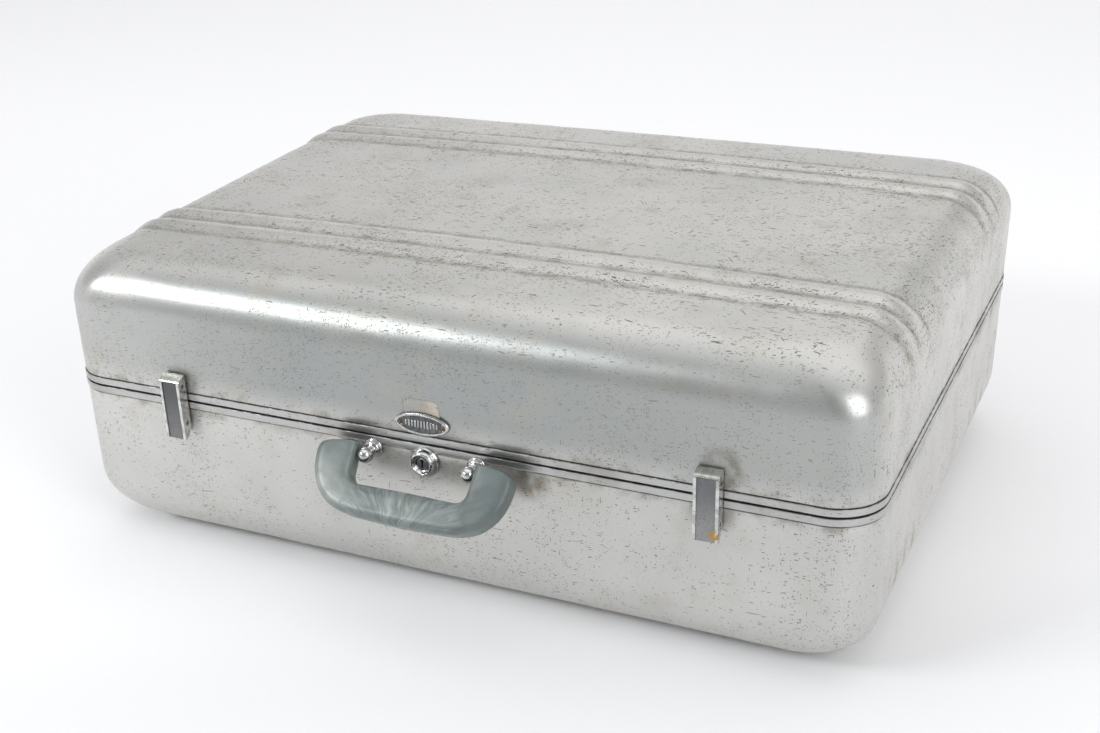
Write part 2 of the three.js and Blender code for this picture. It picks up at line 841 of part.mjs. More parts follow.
function stayLower(side) {
  const plate = link(side, LOWER_STAY, stayOnBase, stayElbow);
  const hole = pivotRod(side, STAY_RADIUS + GAP, 9, 13, stayOnBase);
  const elbowPin = pivotRod(side, STAY_RADIUS, LOWER_STAY.outer + 0.5, 15.4, stayElbow);
  return cut(plate, [hole]).add(elbowPin);
}

function stayUpper(side) {
  const plate = link(side, UPPER_STAY, stayOnLid, stayElbow);
  return cut(plate, [
    pivotRod(side, STAY_RADIUS + GAP, 12, 16, stayOnLid),
    pivotRod(side, STAY_RADIUS + 0.6, 12, 16, stayElbow),
  ]);
}

// A shouldered stud set in the rail's leg, with a riveted head beyond the stay.
function stayStud(side, plane, at) {
  return joined([
    pivotRod(side, STAY_RADIUS, LEG_OUTER + 0.1, plane.inner + 0.8, at),
    pivotRod(side, 4, LEG_INNER + GAP, plane.outer - GAP, at),
    pivotRod(side, 3.2, plane.inner + GAP, plane.inner + 1.1, at),
  ]);
}

// ---- Assembly ------------------------------------------------------------------------------

const group = new THREE.Group();

function add(name, solid, material) {
  const mesh = new THREE.Mesh(geometryFrom(solid), material);
  mesh.name = name;
  group.add(mesh);
}

const sides = [
  ["left", -1],
  ["right", 1],
];

const latchHoles = sides.flatMap(([, side]) =>
  BRACKET_RIVETS.map((rise) => throughFront(RIVET_HOLE, side * LATCH_X, rise)),
);
const keeperHoles = sides.map(([, side]) => throughFront(RIVET_HOLE, side * LATCH_X, KEEPER_RIVET));
const hingeHoles = (half) =>
  sides.flatMap(([, side]) =>
    [-1, 1].map((end) => {
      const x = side * HINGE_X + end * LEAF_RIVET_X;
      return throughFront(RIVET_HOLE, x, half.side * LEAF_RIVET_RISE, BACK);
    }),
  );
const postHoles = sides.map(([, side]) =>
  throughFront(POST_SHANK + GAP, side * POST_X, HANDLE_PIVOT.rise),
);
const lockHole = throughFront(NECK_RADIUS + GAP, 0, LOCK_RISE, FRONT, -30, 20);
const badgeHoles = sides.map(([, side]) =>
  throughFront(1.4, side * BADGE_PIN_X, BADGE.rise, FRONT, -WALL - 0.2),
);
const studHoles = (at) =>
  sides.map(([, side]) => pivotRod(side, STAY_RADIUS + 0.2, LEG_OUTER - 0.2, LEG_INNER + 1, at));

// The base and what is fastened to it.
const baseHoles = [...latchHoles, ...hingeHoles(BASE), ...postHoles, lockHole];
add("base_shell", cut(ribbedShell(BASE), baseHoles), shellMetal);
add("base_rail", cut(baseRail(), [...baseHoles, ...studHoles(stayOnBase)]), railMetal);
add("gasket", gasketRing(), rubber);
add("base_lining", liner(BASE), lining);
add("lock_collar", lockCollar(), chrome);
add("lock_nut", hexNut(0, LOCK_RISE, 8, NECK_RADIUS + GAP, 2.6), plateMetal);
for (const [name, side] of sides) {
  const x = side * LATCH_X;
  add("latch_bracket_" + name, latchBracket(x), plateMetal);
  add("latch_pivot_pin_" + name, latchPin(x, LATCH_PIVOT), darkPin);
  add("latch_bracket_rivet_" + name + "_upper", rivet(x, BRACKET_RIVETS[0], BRACKET_PLATE, FRONT), darkPin);
  add("latch_bracket_rivet_" + name + "_lower", rivet(x, BRACKET_RIVETS[1], BRACKET_PLATE, FRONT), darkPin);
  add("handle_post_" + name, handlePost(side), chrome);
  add("handle_post_nut_" + name, hexNut(side * POST_X, HANDLE_PIVOT.rise, 4.6, POST_SHANK + GAP, 2.6), plateMetal);
  add("hinge_leaf_base_" + name, hingeLeaf(side * HINGE_X, BASE), plateMetal);
  add("hinge_pin_" + name, hingePin(side * HINGE_X), darkPin);
  add("stay_stud_base_" + name, stayStud(side, LOWER_STAY, stayOnBase), plateMetal);
}

// The lock's turning pieces, the latch levers, the handle and the stays.
add("lock_plug", lockPlug(), chrome);
add("lock_cam", lockCam(), plateMetal);
add("handle_grip", handleGrip(), handlePlastic);
for (const [name, side] of sides) {
  const x = side * LATCH_X;
  add("latch_lever_" + name, latchLever(x), plateMetal);
  add("latch_catch_pin_" + name, latchPin(x, LATCH_CATCH), darkPin);
  add("handle_pin_" + name, handlePin(side), darkPin);
  add("stay_lower_" + name, stayLower(side), plateMetal);
  add("stay_upper_" + name, stayUpper(side), plateMetal);
}

// The lid and what is fastened to it.
const lidHoles = [...keeperHoles, ...hingeHoles(LID)];
add("lid_shell", cut(ribbedShell(LID), [...lidHoles, ...badgeHoles]), shellMetal);
add("lid_rail", cut(lidRail(), [...lidHoles, ...studHoles(stayOnLid)]), railMetal);
add("lid_lining", liner(LID), lining);
add("lock_strike", lockStrike(), plateMetal);
add("name_badge", nameBadge(), plateMetal);
for (const [name, side] of sides) {
  add("badge_pin_" + name, badgePin(side), darkPin);
  add("latch_keeper_" + name, latchKeeper(side * LATCH_X), plateMetal);
  add("latch_keeper_rivet_" + name, rivet(side * LATCH_X, KEEPER_RIVET, BRACKET_PLATE, FRONT, 1.6), darkPin);
  add("hinge_leaf_lid_" + name, hingeLeaf(side * HINGE_X, LID), plateMetal);
  add("stay_stud_lid_" + name, stayStud(side, UPPER_STAY, stayOnLid), plateMetal);
}

// Each hinge leaf's two rivets.
for (const [name, side] of sides) {
  for (const [half, halfName] of [[BASE, "base"], [LID, "lid"]]) {
    for (const [end, endName] of [[-1, "a"], [1, "b"]]) {
      const x = side * HINGE_X + end * LEAF_RIVET_X;
      const solid = rivet(x, half.side * LEAF_RIVET_RISE, LEAF_FACE, BACK);
      add("hinge_rivet_" + halfName + "_" + name + "_" + endName, solid, darkPin);
    }
  }
}

// The handle reaches further out than the hinges, so the whole case moves back until the origin
// is under the middle of its box.
const box = new THREE.Box3().setFromObject(group);
group.position.y = -(box.min.y + box.max.y) / 2;

export default group;
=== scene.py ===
import math
from functools import partial, reduce
from operator import mul

import bmesh
import bpy
import numpy as np
from mathutils import Matrix, Vector


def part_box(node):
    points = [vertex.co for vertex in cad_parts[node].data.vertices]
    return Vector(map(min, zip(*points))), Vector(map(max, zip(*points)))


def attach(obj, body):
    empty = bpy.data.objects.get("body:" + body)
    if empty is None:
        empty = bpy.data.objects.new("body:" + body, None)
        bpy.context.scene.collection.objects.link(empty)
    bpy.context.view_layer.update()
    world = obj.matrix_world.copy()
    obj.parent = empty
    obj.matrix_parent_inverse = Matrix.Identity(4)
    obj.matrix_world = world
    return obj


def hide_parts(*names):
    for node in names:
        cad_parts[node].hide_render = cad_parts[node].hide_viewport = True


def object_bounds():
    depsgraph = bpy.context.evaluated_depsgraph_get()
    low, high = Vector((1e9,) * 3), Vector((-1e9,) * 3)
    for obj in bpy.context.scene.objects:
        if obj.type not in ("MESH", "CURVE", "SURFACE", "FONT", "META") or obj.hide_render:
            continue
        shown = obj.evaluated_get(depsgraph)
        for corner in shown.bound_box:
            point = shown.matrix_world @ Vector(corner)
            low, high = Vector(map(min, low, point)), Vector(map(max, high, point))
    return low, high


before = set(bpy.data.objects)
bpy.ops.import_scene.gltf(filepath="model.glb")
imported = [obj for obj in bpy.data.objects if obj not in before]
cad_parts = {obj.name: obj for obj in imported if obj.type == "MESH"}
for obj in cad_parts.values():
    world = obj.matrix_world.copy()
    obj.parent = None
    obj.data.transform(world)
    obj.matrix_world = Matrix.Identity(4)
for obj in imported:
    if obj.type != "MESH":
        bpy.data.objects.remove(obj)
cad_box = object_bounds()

# A worn aluminium travel case: drawn shells with pressed ribs, polished rails, rocker latches, a
# key lock, a pearl plastic handle on ball posts, leaf hinges, folding stays and cloth linings.
# Sizes are in millimetres. Points are (x, y, z) with y = 0 in the middle of the shells, until
# place() moves them to the frame in metres. "depth" is out from the shells' flat front or back,
# and "rise" is up from the parting.

scene = bpy.context.scene
random = np.random.default_rng(7)

# ---- Sizes, from the CAD nodes ----

MM = 0.001
rail_low, rail_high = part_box("base_rail")
shell_low, shell_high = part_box("base_shell")
MIDDLE_Y = (rail_low.y + rail_high.y) / 2 / MM
HALF_X = shell_high.x / MM
HALF_Y = (shell_high.y - shell_low.y) / 2 / MM
LIP_RISE = 4.0
PARTING = rail_high.z / MM - LIP_RISE
CORNER = 33.0
CORNER_GROWTH = 0.2
RIB_HEIGHT = 2.6
RIB_WIDTH = 25.0
RIB_PAIR_Y = 124.0
RAIL_BAND = 6.0
RAIL_PROUD = 0.4
SEAM = 0.7
BASE = {"name": "base", "side": -1, "depth": PARTING - RIB_HEIGHT, "edge": 46.0, "crown": 0.0}
LID = {"name": "lid", "side": 1, "depth": 97.0, "edge": 37.0, "crown": 5.0}
FRONT = -1
BACK = 1
SIDES = (("left", -1), ("right", 1))


def node_middle(node):
    low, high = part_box(node)
    middle = (low + high) / 2 / MM
    return np.array([middle.x, middle.y - MIDDLE_Y, middle.z])


def rise_of(node):
    return node_middle(node)[2] - PARTING


def depth_of(node, face=FRONT):
    return face * node_middle(node)[1] - HALF_Y


LATCH_X = node_middle("latch_catch_pin_right")[0]
POST_X = node_middle("handle_post_right")[0]
HINGE_X = node_middle("hinge_pin_right")[0]
LOCK_RISE = rise_of("lock_collar")
POST_RISE = rise_of("handle_pin_right")
POST_DEPTH = depth_of("handle_pin_right")
BADGE_RISE = rise_of("name_badge")
PIVOT_RISE = rise_of("latch_pivot_pin_right")
CATCH_RISE = rise_of("latch_catch_pin_right")
LATCH_PIN_DEPTH = depth_of("latch_catch_pin_right")
HINGE_DEPTH = depth_of("hinge_pin_right", BACK)
TILT = math.radians(40)


# ---- Camera ----


def aim_camera():
    azimuth, elevation, roll = (math.radians(a) for a in (27.648, 27.628, -3.032))
    turn = Matrix.Rotation(azimuth, 4, "Z") @ Matrix.Rotation(math.pi / 2 - elevation, 4, "X")
    turn @= Matrix.Rotation(roll, 4, "Z")
    at = turn @ Vector((-69.407, -5.838, 1290.086)) + Vector((0, MIDDLE_Y, RIB_HEIGHT))
    data = bpy.data.cameras.new("camera")
    data.sensor_width = 36
    data.lens = 50.97371
    data.shift_x = 0.0642455
    data.shift_y = 0.0914727
    data.clip_start = 0.05
    data.clip_end = 60
    camera = bpy.data.objects.new("camera", data)
    scene.collection.objects.link(camera)
    camera.matrix_world = Matrix.Translation(at * MM) @ turn
    scene.camera = camera


aim_camera()

# ---- Meshes ----


def place(points):
    moved = np.array(points, dtype=float)
    moved[..., 1] += MIDDLE_Y
    return moved * MM


def make_piece(name, shape, body, material, replaced="", bevel=0.0, sharp=None, steps=3):
    """A piece from (points, faces) that rides on a body in place of a CAD node."""
    points, faces = shape
    mesh = bpy.data.meshes.new(name)
    mesh.from_pydata(place(points).tolist(), [], [list(map(int, f)) for f in faces])
    work = bmesh.new()
    work.from_mesh(mesh)
    bmesh.ops.remove_doubles(work, verts=work.verts, dist=1e-6)
    bmesh.ops.recalc_face_normals(work, faces=work.faces)
    work.to_mesh(mesh)
    work.free()
    mesh.materials.append(material)
    mesh.shade_smooth()
    if sharp:
        mesh.set_sharp_from_angle(angle=math.radians(sharp))
    piece = bpy.data.objects.new(name, mesh)
    scene.collection.objects.link(piece)
    if bevel:
        add_bevel(piece, bevel, steps)
    if body:
        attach(piece, body)
    if replaced:
        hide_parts(replaced)
    return piece


def add_bevel(piece, width, steps=2):
    bevel = piece.modifiers.new("edges", "BEVEL")
    bevel.width = width * MM
    bevel.segments = steps
    bevel.limit_method = "ANGLE"
    bevel.angle_limit = math.radians(32)


def loft(loops, wrap=False, caps=False):
    """Points and faces of a skin through closed loops of equal count."""
    loops = np.asarray(loops, dtype=float)
    rows, count = loops.shape[:2]
    index = np.arange(rows * count).reshape(rows, count)
    here = index if wrap else index[:-1]
    there = np.roll(index, -1, axis=0) if wrap else index[1:]
    corners = (here, np.roll(here, -1, axis=1), np.roll(there, -1, axis=1), there)
    faces = np.stack(corners, axis=-1).reshape(-1, 4).tolist()
    if caps:
        faces += [index[0][::-1].tolist(), index[-1].tolist()]
    return loops.reshape(-1, 3), faces


def together(*parts):
    """Several (points, faces) as one."""
    points, faces, start = [], [], 0
    for part_points, part_faces in parts:
        points.append(np.asarray(part_points, dtype=float))
        faces += [[start + i for i in face] for face in part_faces]
        start += len(part_points)
    return np.concatenate(points), faces


def rounded(outline, radius, closed=True, steps=4):
    """A 2-D outline with each corner rounded as far as its two edges allow."""
    outline = [np.array(p, dtype=float) for p in outline]
    result = []
    count = len(outline)
    for i, corner in enumerate(outline):
        if not closed and i in (0, count - 1):
            result.append(corner)
            continue
        before = outline[i - 1] - corner
        after = outline[(i + 1) % count] - corner
        lengths = np.linalg.norm(before), np.linalg.norm(after)
        reach = min(radius, 0.48 * lengths[0], 0.48 * lengths[1])
        start = corner + before / lengths[0] * reach
        end = corner + after / lengths[1] * reach
        for t in np.linspace(0, 1, steps + 1):
            result.append(quadratic(start, corner, end, t))
    return np.array(result)


def quadratic(start, bend, end, t):
    return (1 - t) ** 2 * start + 2 * t * (1 - t) * bend + t ** 2 * end


def open_profile(points, radius):
    return [tuple(p) for p in rounded(points, radius, closed=False, steps=3)]


def circle(count):
    angles = np.linspace(0, 2 * math.pi, count, endpoint=False)
    return np.cos(angles), np.sin(angles)


def turned(profile, x, rise, face=FRONT, sides=48):
    """A lathe round a line along Y. The profile lists (radius, depth)."""
    right, up = circle(sides)
    return loft([
        np.column_stack([
            x + radius * right,
            np.full(sides, face * (HALF_Y + depth)),
            PARTING + rise + radius * up,
        ])
        for radius, depth in profile
    ])


def turned_across(profile, centre, sides=40):
    """A lathe round a line along X through centre (y, z). The profile lists (radius, x)."""
    along, up = circle(sides)
    return loft([
        np.column_stack([np.full(sides, x), centre[0] + radius * along, centre[1] + radius * up])
        for radius, x in profile
    ])


def slab(outline, low, high):
    """A prism along X on an outline of (y, z)."""
    return loft([[(x, y, z) for y, z in outline] for x in (low, high)], caps=True)


def side_outline(points, face=FRONT):
    return [(face * (HALF_Y + depth), PARTING + rise) for depth, rise in points]


def carved(name, solid, cutters, body, material, replaced, bevel, steps=3):
    """A solid with others cut out of it, and its edges rounded."""
    piece = make_piece(name, solid, None, material)
    tools = [make_piece("tool", cutter, None, material) for cutter in cutters]
    for tool in tools:
        cut = piece.modifiers.new("cut", "BOOLEAN")
        cut.operation = "DIFFERENCE"
        cut.solver = "EXACT"
        cut.object = tool
    bpy.context.view_layer.update()
    depsgraph = bpy.context.evaluated_depsgraph_get()
    solved = bpy.data.meshes.new_from_object(piece.evaluated_get(depsgraph))
    piece.modifiers.clear()
    piece.data = solved
    for tool in tools:
        bpy.data.objects.remove(tool)
    solved.shade_smooth()
    solved.set_sharp_from_angle(angle=math.radians(35))
    add_bevel(piece, bevel, steps)
    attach(piece, body)
    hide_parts(replaced)


# ---- Material nodes ----


def grey(value, tint=(1, 1, 1)):
    return tuple(value * t for t in tint)


def feed(tree, socket, value):
    """Link a value to an input, or set the input to a number, a vector or a colour."""
    value = getattr(value, "socket", value)
    if isinstance(value, bpy.types.NodeSocket):
        tree.links.new(value, socket)
    elif socket.type == "RGBA":
        socket.default_value = (*value, 1)
    else:
        socket.default_value = value


def add_node(tree, kind, inputs=None, **settings):
    node = tree.nodes.new("ShaderNode" + kind)
    for key, value in settings.items():
        setattr(node, key, value)
    for key, value in (inputs or {}).items():
        feed(tree, node.inputs[key], value)
    return node


class Value:
    """A node's output, which takes + - and * with numbers and other values."""

    def __init__(self, finish, socket):
        self.finish = finish
        self.socket = socket

    def __add__(self, other):
        return self.finish.math("ADD", self, other)

    def __sub__(self, other):
        return self.finish.math("SUBTRACT", self, other)

    def __rsub__(self, other):
        return self.finish.math("SUBTRACT", other, self)

    def __mul__(self, other):
        return self.finish.math("MULTIPLY", self, other)

    def __abs__(self):
        return self.finish.math("ABSOLUTE", self)

    __radd__ = __add__
    __rmul__ = __mul__


class Finish:
    """A material whose nodes are made by short calls. Its coordinates are in millimetres."""

    def __init__(self, name, **settings):
        self.material = bpy.data.materials.new(name)
        self.material.use_nodes = True
        self.tree = self.material.node_tree
        self.shader = self.tree.nodes["Principled BSDF"]
        self.colour = None
        placed = self.node("TexCoord", out="Object")
        moved = self.vector("SUBTRACT", placed, (0, MIDDLE_Y * MM, 0))
        self.place = self.scaled(moved, 1 / MM)
        self.x, self.y, self.z = self.split(self.place)
        self.set(**settings)

    def node(self, kind, inputs=None, out=0, **settings):
        return Value(self, add_node(self.tree, kind, inputs, **settings).outputs[out])

    def set(self, **inputs):
        for key, value in inputs.items():
            feed(self.tree, self.shader.inputs[key.replace("_", " ")], value)

    def done(self, rough, height, distance, strength=0.6):
        """The material, with its colour so far, this roughness and this relief."""
        inputs = {"Height": height, "Distance": distance * MM, "Strength": strength}
        normal = self.node("Bump", inputs)
        self.set(Base_Color=self.colour, Roughness=rough, Normal=normal)
        return self.material

    def vector(self, operation, a, b=(0, 0, 0)):
        out = "Value" if operation in ("DOT_PRODUCT", "DISTANCE", "LENGTH") else 0
        return self.node("VectorMath", {0: a, 1: b}, out, operation=operation)

    def scaled(self, vector, amount):
        inputs = {0: vector, "Scale": amount}
        return self.node("VectorMath", inputs, operation="SCALE")

    def split(self, vector):
        node = add_node(self.tree, "SeparateXYZ", {0: vector})
        return [Value(self, socket) for socket in node.outputs[:3]]

    def math(self, operation, a, b=0.0):
        return self.node("Math", {0: a, 1: b}, operation=operation)

    def most(self, *values):
        return reduce(partial(self.math, "MAXIMUM"), values)

    def least(self, *values):
        return reduce(partial(self.math, "MINIMUM"), values)

    def step(self, value, start, end, low=0.0, high=1.0):
        """low before start, high after end, smooth between. start may be above end."""
        if start > end:
            start, end, low, high = end, start, high, low
        inputs = {0: value, 1: start, 2: end, 3: low, 4: high}
        return self.node("MapRange", inputs, interpolation_type="SMOOTHSTEP")

    def mix(self, factor, a, b):
        return self.node("Mix", {0: factor, 6: a, 7: b}, 2, data_type="RGBA")

    def paint(self, tone, *masks):
        """Lay a tone over the colour, as far as the product of the masks says."""
        self.colour = self.mix(reduce(mul, masks), self.colour, tone)

    def texture(self, kind, size, turn=None, place=None, **inputs):
        """A texture node of that size in millimetres, one number or one for each axis."""
        place = place or self.place
        if turn:
            rotation = tuple(math.radians(a) for a in turn)
            place = self.node("Mapping", {0: place, 2: rotation})
        sizes = size if isinstance(size, tuple) else (size,) * 3
        scaled = self.vector("MULTIPLY", place, tuple(1 / s for s in sizes))
        return add_node(self.tree, kind, {"Vector": scaled, "Scale": 1.0, **inputs})

    def noise(self, size, detail, turn=None):
        """Fractal noise about 0.5."""
        node = self.texture("TexNoise", size, turn, Detail=detail)
        return Value(self, node.outputs["Fac"])

    def patch(self, size, detail, start, end, low=0.0, high=1.0):
        """Soft patches of that size, made by a step in the noise."""
        return self.step(self.noise(size, detail), start, end, low, high)

    def bent(self, size, amount):
        """The place, moved a little by noise of that size."""
        colour = self.texture("TexNoise", size, Detail=1.0).outputs["Color"]
        centred = self.vector("SUBTRACT", colour, (0.5, 0.5, 0.5))
        return self.vector("ADD", self.place, self.scaled(centred, amount))

    def marks(self, size, keep, width, turn=None, place=None, density=1.0):
        """Scattered marks: of the cells of that size, the share keep holds one."""
        cells = self.texture("TexVoronoi", size, turn, place)
        chance = self.split(cells.outputs["Color"])[0]
        chosen = self.math("LESS_THAN", chance, density * keep)
        return chosen * self.step(cells.outputs["Distance"], width, 0.55 * width)

    def scatter(self, place, density, *kinds):
        """Several kinds of marks together, each (size, keep, width, turn)."""
        return self.most(*(self.marks(*kind, place=place, density=density) for kind in kinds))

    def spot(self, centre, radius, inner=0.0):
        """1 within inner of centre (x, y, z), fading to 0 at radius."""
        return self.step(self.vector("DISTANCE", self.place, centre), radius, inner)


# ---- Materials ----


def shell_material():
    f = Finish("worn_shell_aluminium_and_reflection_shade", Metallic=0.86)
    rise = abs(f.z - PARTING)
    across = abs(f.y)
    broad = f.noise(60, 3)
    fine = f.noise(14, 2)
    # Grime lies in the valleys beside the ribs and along the rails.
    lines = (RIB_PAIR_Y - RIB_WIDTH, RIB_PAIR_Y, RIB_PAIR_Y + RIB_WIDTH)
    to_line = f.least(*(abs(across - line) for line in lines))
    on_panel = f.step(rise, 62, 84)
    uneven = f.patch((16, 5, 5), 3, 0.38, 0.6) * 0.65 + 0.35
    valley = f.step(to_line, 5.6, 0.6) * on_panel * uneven
    near_ribs = f.step(to_line, 11, 2) * on_panel
    rail_line = f.step(rise, RAIL_BAND + 1.3, RAIL_BAND + 0.5)
    near_rail = f.step(rise, RAIL_BAND + 9, RAIL_BAND + 1) * f.step(fine, 0.42, 0.7)
    handled = (
        (LATCH_X, -4, 26), (-LATCH_X, -2, 22), (POST_X, -10, 18), (-POST_X, -10, 18),
        (0, LOCK_RISE, 20), (POST_X + 18, -6, 16), (-LATCH_X + 6, 15, 16), (LATCH_X + 8, 20, 20),
    )
    soil = f.step(fine, 0.34, 0.62) * f.most(*(
        f.spot((x, -HALF_Y, PARTING + at_rise), radius, 0.3 * radius)
        for x, at_rise, radius in handled
    ))
    # Marks: pits, dashes that mostly run along X, and longer scratches at odd angles.
    bent = f.bent(22, 5)
    upper = f.step(f.z, PARTING + 50, PARTING + 90)
    busy = f.step(broad, 0.36, 0.62, 0.25, 1.0) * f.step(upper, 0, 1, 1.0, 0.85)
    clusters = (busy + near_ribs * 0.8) * f.step(fine, 0.34, 0.62, 0.35, 1.25)
    clusters *= f.step(f.z, PARTING - 8, PARTING + 8, 0.55, 1.0)
    pits = f.marks(1.7, 0.3, 0.33, None, bent, clusters)
    specks = f.marks(0.85, 0.26, 0.36, None, bent, clusters)
    dashes = f.scatter(
        bent, clusters,
        ((6.5, 1.2, 1.2), 0.4, 0.3, (0, 0, 6)), ((10, 1.5, 1.5), 0.26, 0.24, (0, 4, -8)),
        ((3.2, 0.9, 0.9), 0.3, 0.3, (0, 12, 17)), ((1.2, 3.8, 3.8), 0.3, 0.27, (25, 0, 30)),
    )
    strokes = f.scatter(
        bent, clusters * upper * f.step(f.x, 60, 280, 0.75, 1.5),
        ((15, 1.9, 1.9), 0.12, 0.32, (0, 0, 4)), ((7, 1.7, 1.7), 0.12, 0.36, (0, 9, -7)),
        ((2.2, 9, 2.2), 0.06, 0.32, (0, 0, 24)),
    )
    at_end = clusters * f.step(f.x, 270, 300)
    end_strokes = f.marks((2.2, 2.2, 11), 0.2, 0.3, (7, 0, 0), bent, at_end)
    scratches = f.scatter(
        bent, 1.0,
        ((26, 1.8, 1.8), 0.1, 0.15, (0, 0, 38)), ((34, 2.0, 2.0), 0.09, 0.13, (10, 30, -24)),
        ((2.0, 30, 24), 0.08, 0.13, (15, 0, 14)), ((60, 2.2, 2.2), 0.12, 0.16, (0, 3, 3)),
        ((44, 2.6, 2.6), 0.07, 0.17, (0, 5, 52)),
    )
    marked = f.most(pits * 0.9, specks * 0.7, dashes, strokes, end_strokes, scratches * 0.9)
    front = f.step(f.y, -HALF_Y + 30, -HALF_Y + 6) * f.step(f.z, PARTING, PARTING + 25, 0.25, 1.0)
    dark = marked * (front * -0.45 + 1.0)
    # Colour: warm grey metal; the front of the lid is a little greener and darker, a painted
    # reflection shade standing in for the dark room it faces.
    cloud = f.patch(95, 4, 0.3, 0.7)
    f.colour = f.mix(cloud, grey(0.59, (1, 0.995, 0.955)), grey(0.665, (1, 0.98, 0.94)))
    # Painted reflection shade: the lid's front darkened and greened as if it mirrored the dark room
    # in front.
    front_reflection_shade = front * f.step(f.x, -290, -90, 0.5, 1.0) * f.step(f.x, 60, 290, 1.0, 0.75)
    f.paint((0.34, 0.354, 0.346), front_reflection_shade, 0.94)
    f.paint((0.46, 0.43, 0.36), f.patch(34, 4, 0.52, 0.74), 0.35)
    f.paint((0.21, 0.19, 0.145), f.most(valley * 0.5, soil * 0.62, near_rail * 0.5))
    beside_post = f.spot((POST_X + 38, -HALF_Y, PARTING - 13), 19, 6)
    f.paint((0.17, 0.135, 0.09), beside_post, f.step(fine, 0.3, 0.5), 0.7)
    f.paint((0.1, 0.085, 0.06), rail_line, 0.8)
    mark = f.mix(f.patch(30, 1, 0.42, 0.6), (0.075, 0.07, 0.055), (0.16, 0.115, 0.065))
    f.paint(mark, dark, 0.85)
    hair = f.noise((30, 0.5, 0.5), 2, (0, 0, 12))
    cross_hair = f.noise((0.6, 24, 24), 2, (20, 0, -20))
    rough = f.step(broad, 0.3, 0.7, 0.22, 0.31) + (hair * 0.1 + cross_hair * 0.08)
    rough += f.most(dark, valley, soil * 0.7) * 0.3
    return f.done(rough, dark * -0.8 + f.noise(3.2, 2) * 0.35 + hair * 0.12, 0.12, 0.55)


def rail_material():
    f = Finish("polished_rail_aluminium", Metallic=1.0)
    rise = abs(f.z - PARTING)
    drawn = f.noise((45, 45, 0.35), 3) + f.noise((14, 14, 0.15), 2) * 0.6
    # The dirt and the nicks stay on the outer face, away from where the rails meet.
    past_x = f.most(abs(f.x) - (HALF_X - CORNER), 0.0)
    past_y = f.most(abs(f.y) - (HALF_Y - CORNER), 0.0)
    from_corner = f.math("SQRT", past_x * past_x + past_y * past_y)
    outside = f.step(from_corner, CORNER - 1.4, CORNER - 0.5)
    nicks = f.scatter(None, outside, ((6, 6, 1.2), 0.16, 0.3), (1.3, 0.12, 0.33))
    at_seam = f.step(rise, SEAM + 0.5, SEAM + 0.1) * outside
    edge = f.most(f.step(rise, RAIL_BAND - 0.55, RAIL_BAND - 0.1) * outside, at_seam)
    dirt = edge * f.patch(7, 3, 0.3, 0.55)
    film = f.patch(38, 4, 0.46, 0.72)
    f.colour = f.mix(film, grey(0.50, (1, 1, 0.985)), grey(0.38, (1, 0.985, 0.94)))
    f.paint((0.12, 0.1, 0.07), f.most(dirt * 0.85, nicks * 0.6))
    rough = drawn * 0.12 + f.most(dirt, nicks, film * 0.5) * 0.25 + 0.22
    return f.done(rough, drawn * 0.5 + nicks * -0.8, 0.05)


def fitting_material(name, light, dark, rough, brushed=(1.2, 18, 18), spots=0.3):
    """Steel or aluminium fittings: brushed, stained, nicked, with lighter worn patches."""
    f = Finish(name, Metallic=0.95)
    brush = f.noise(brushed, 3)
    stain = f.patch(4.5, 4, 0.4, 0.68)
    nicks = f.marks(0.9, spots, 0.34)
    f.colour = f.mix(f.step(brush, 0.3, 0.7), grey(light), grey(0.86 * light))
    f.paint(dark, f.most(stain * 0.5, nicks * 0.85))
    return f.done(brush * 0.14 + stain * 0.16 + rough, brush * 0.5 + nicks * -0.8, 0.05)


def chrome_material():
    """Chrome that is clean on top and painted dark underneath, a painted reflection of dark
    surroundings, with dirt at its foot.
    """
    f = Finish("worn_chrome_and_reflection_shade", Metallic=1.0)
    film = f.patch(3.5, 4, 0.5, 0.75)
    foot = f.step(-HALF_Y - f.y, 2.4, 0.6) * f.patch(2.5, 3, 0.35, 0.6)
    specks = f.marks(0.8, 0.14, 0.33)
    facing = f.split(f.node("NewGeometry", out="Normal"))
    # Painted reflection: darker where the surface faces down, as if it mirrored dark surroundings.
    underside_reflection_shade = f.step(facing[2] + facing[0] * -0.35, 0.3, -0.45)
    f.colour = f.mix(underside_reflection_shade * 0.88, grey(0.7), (0.1, 0.105, 0.1))
    f.paint(grey(0.45, (1, 0.97, 0.9)), film, 0.6)
    f.paint((0.1, 0.075, 0.045), f.most(foot * 0.8, specks * 0.8))
    rough = f.most(film, foot, specks) * 0.25 + 0.07
    return f.done(rough, f.noise(2, 2) + specks * -0.5, 0.02)


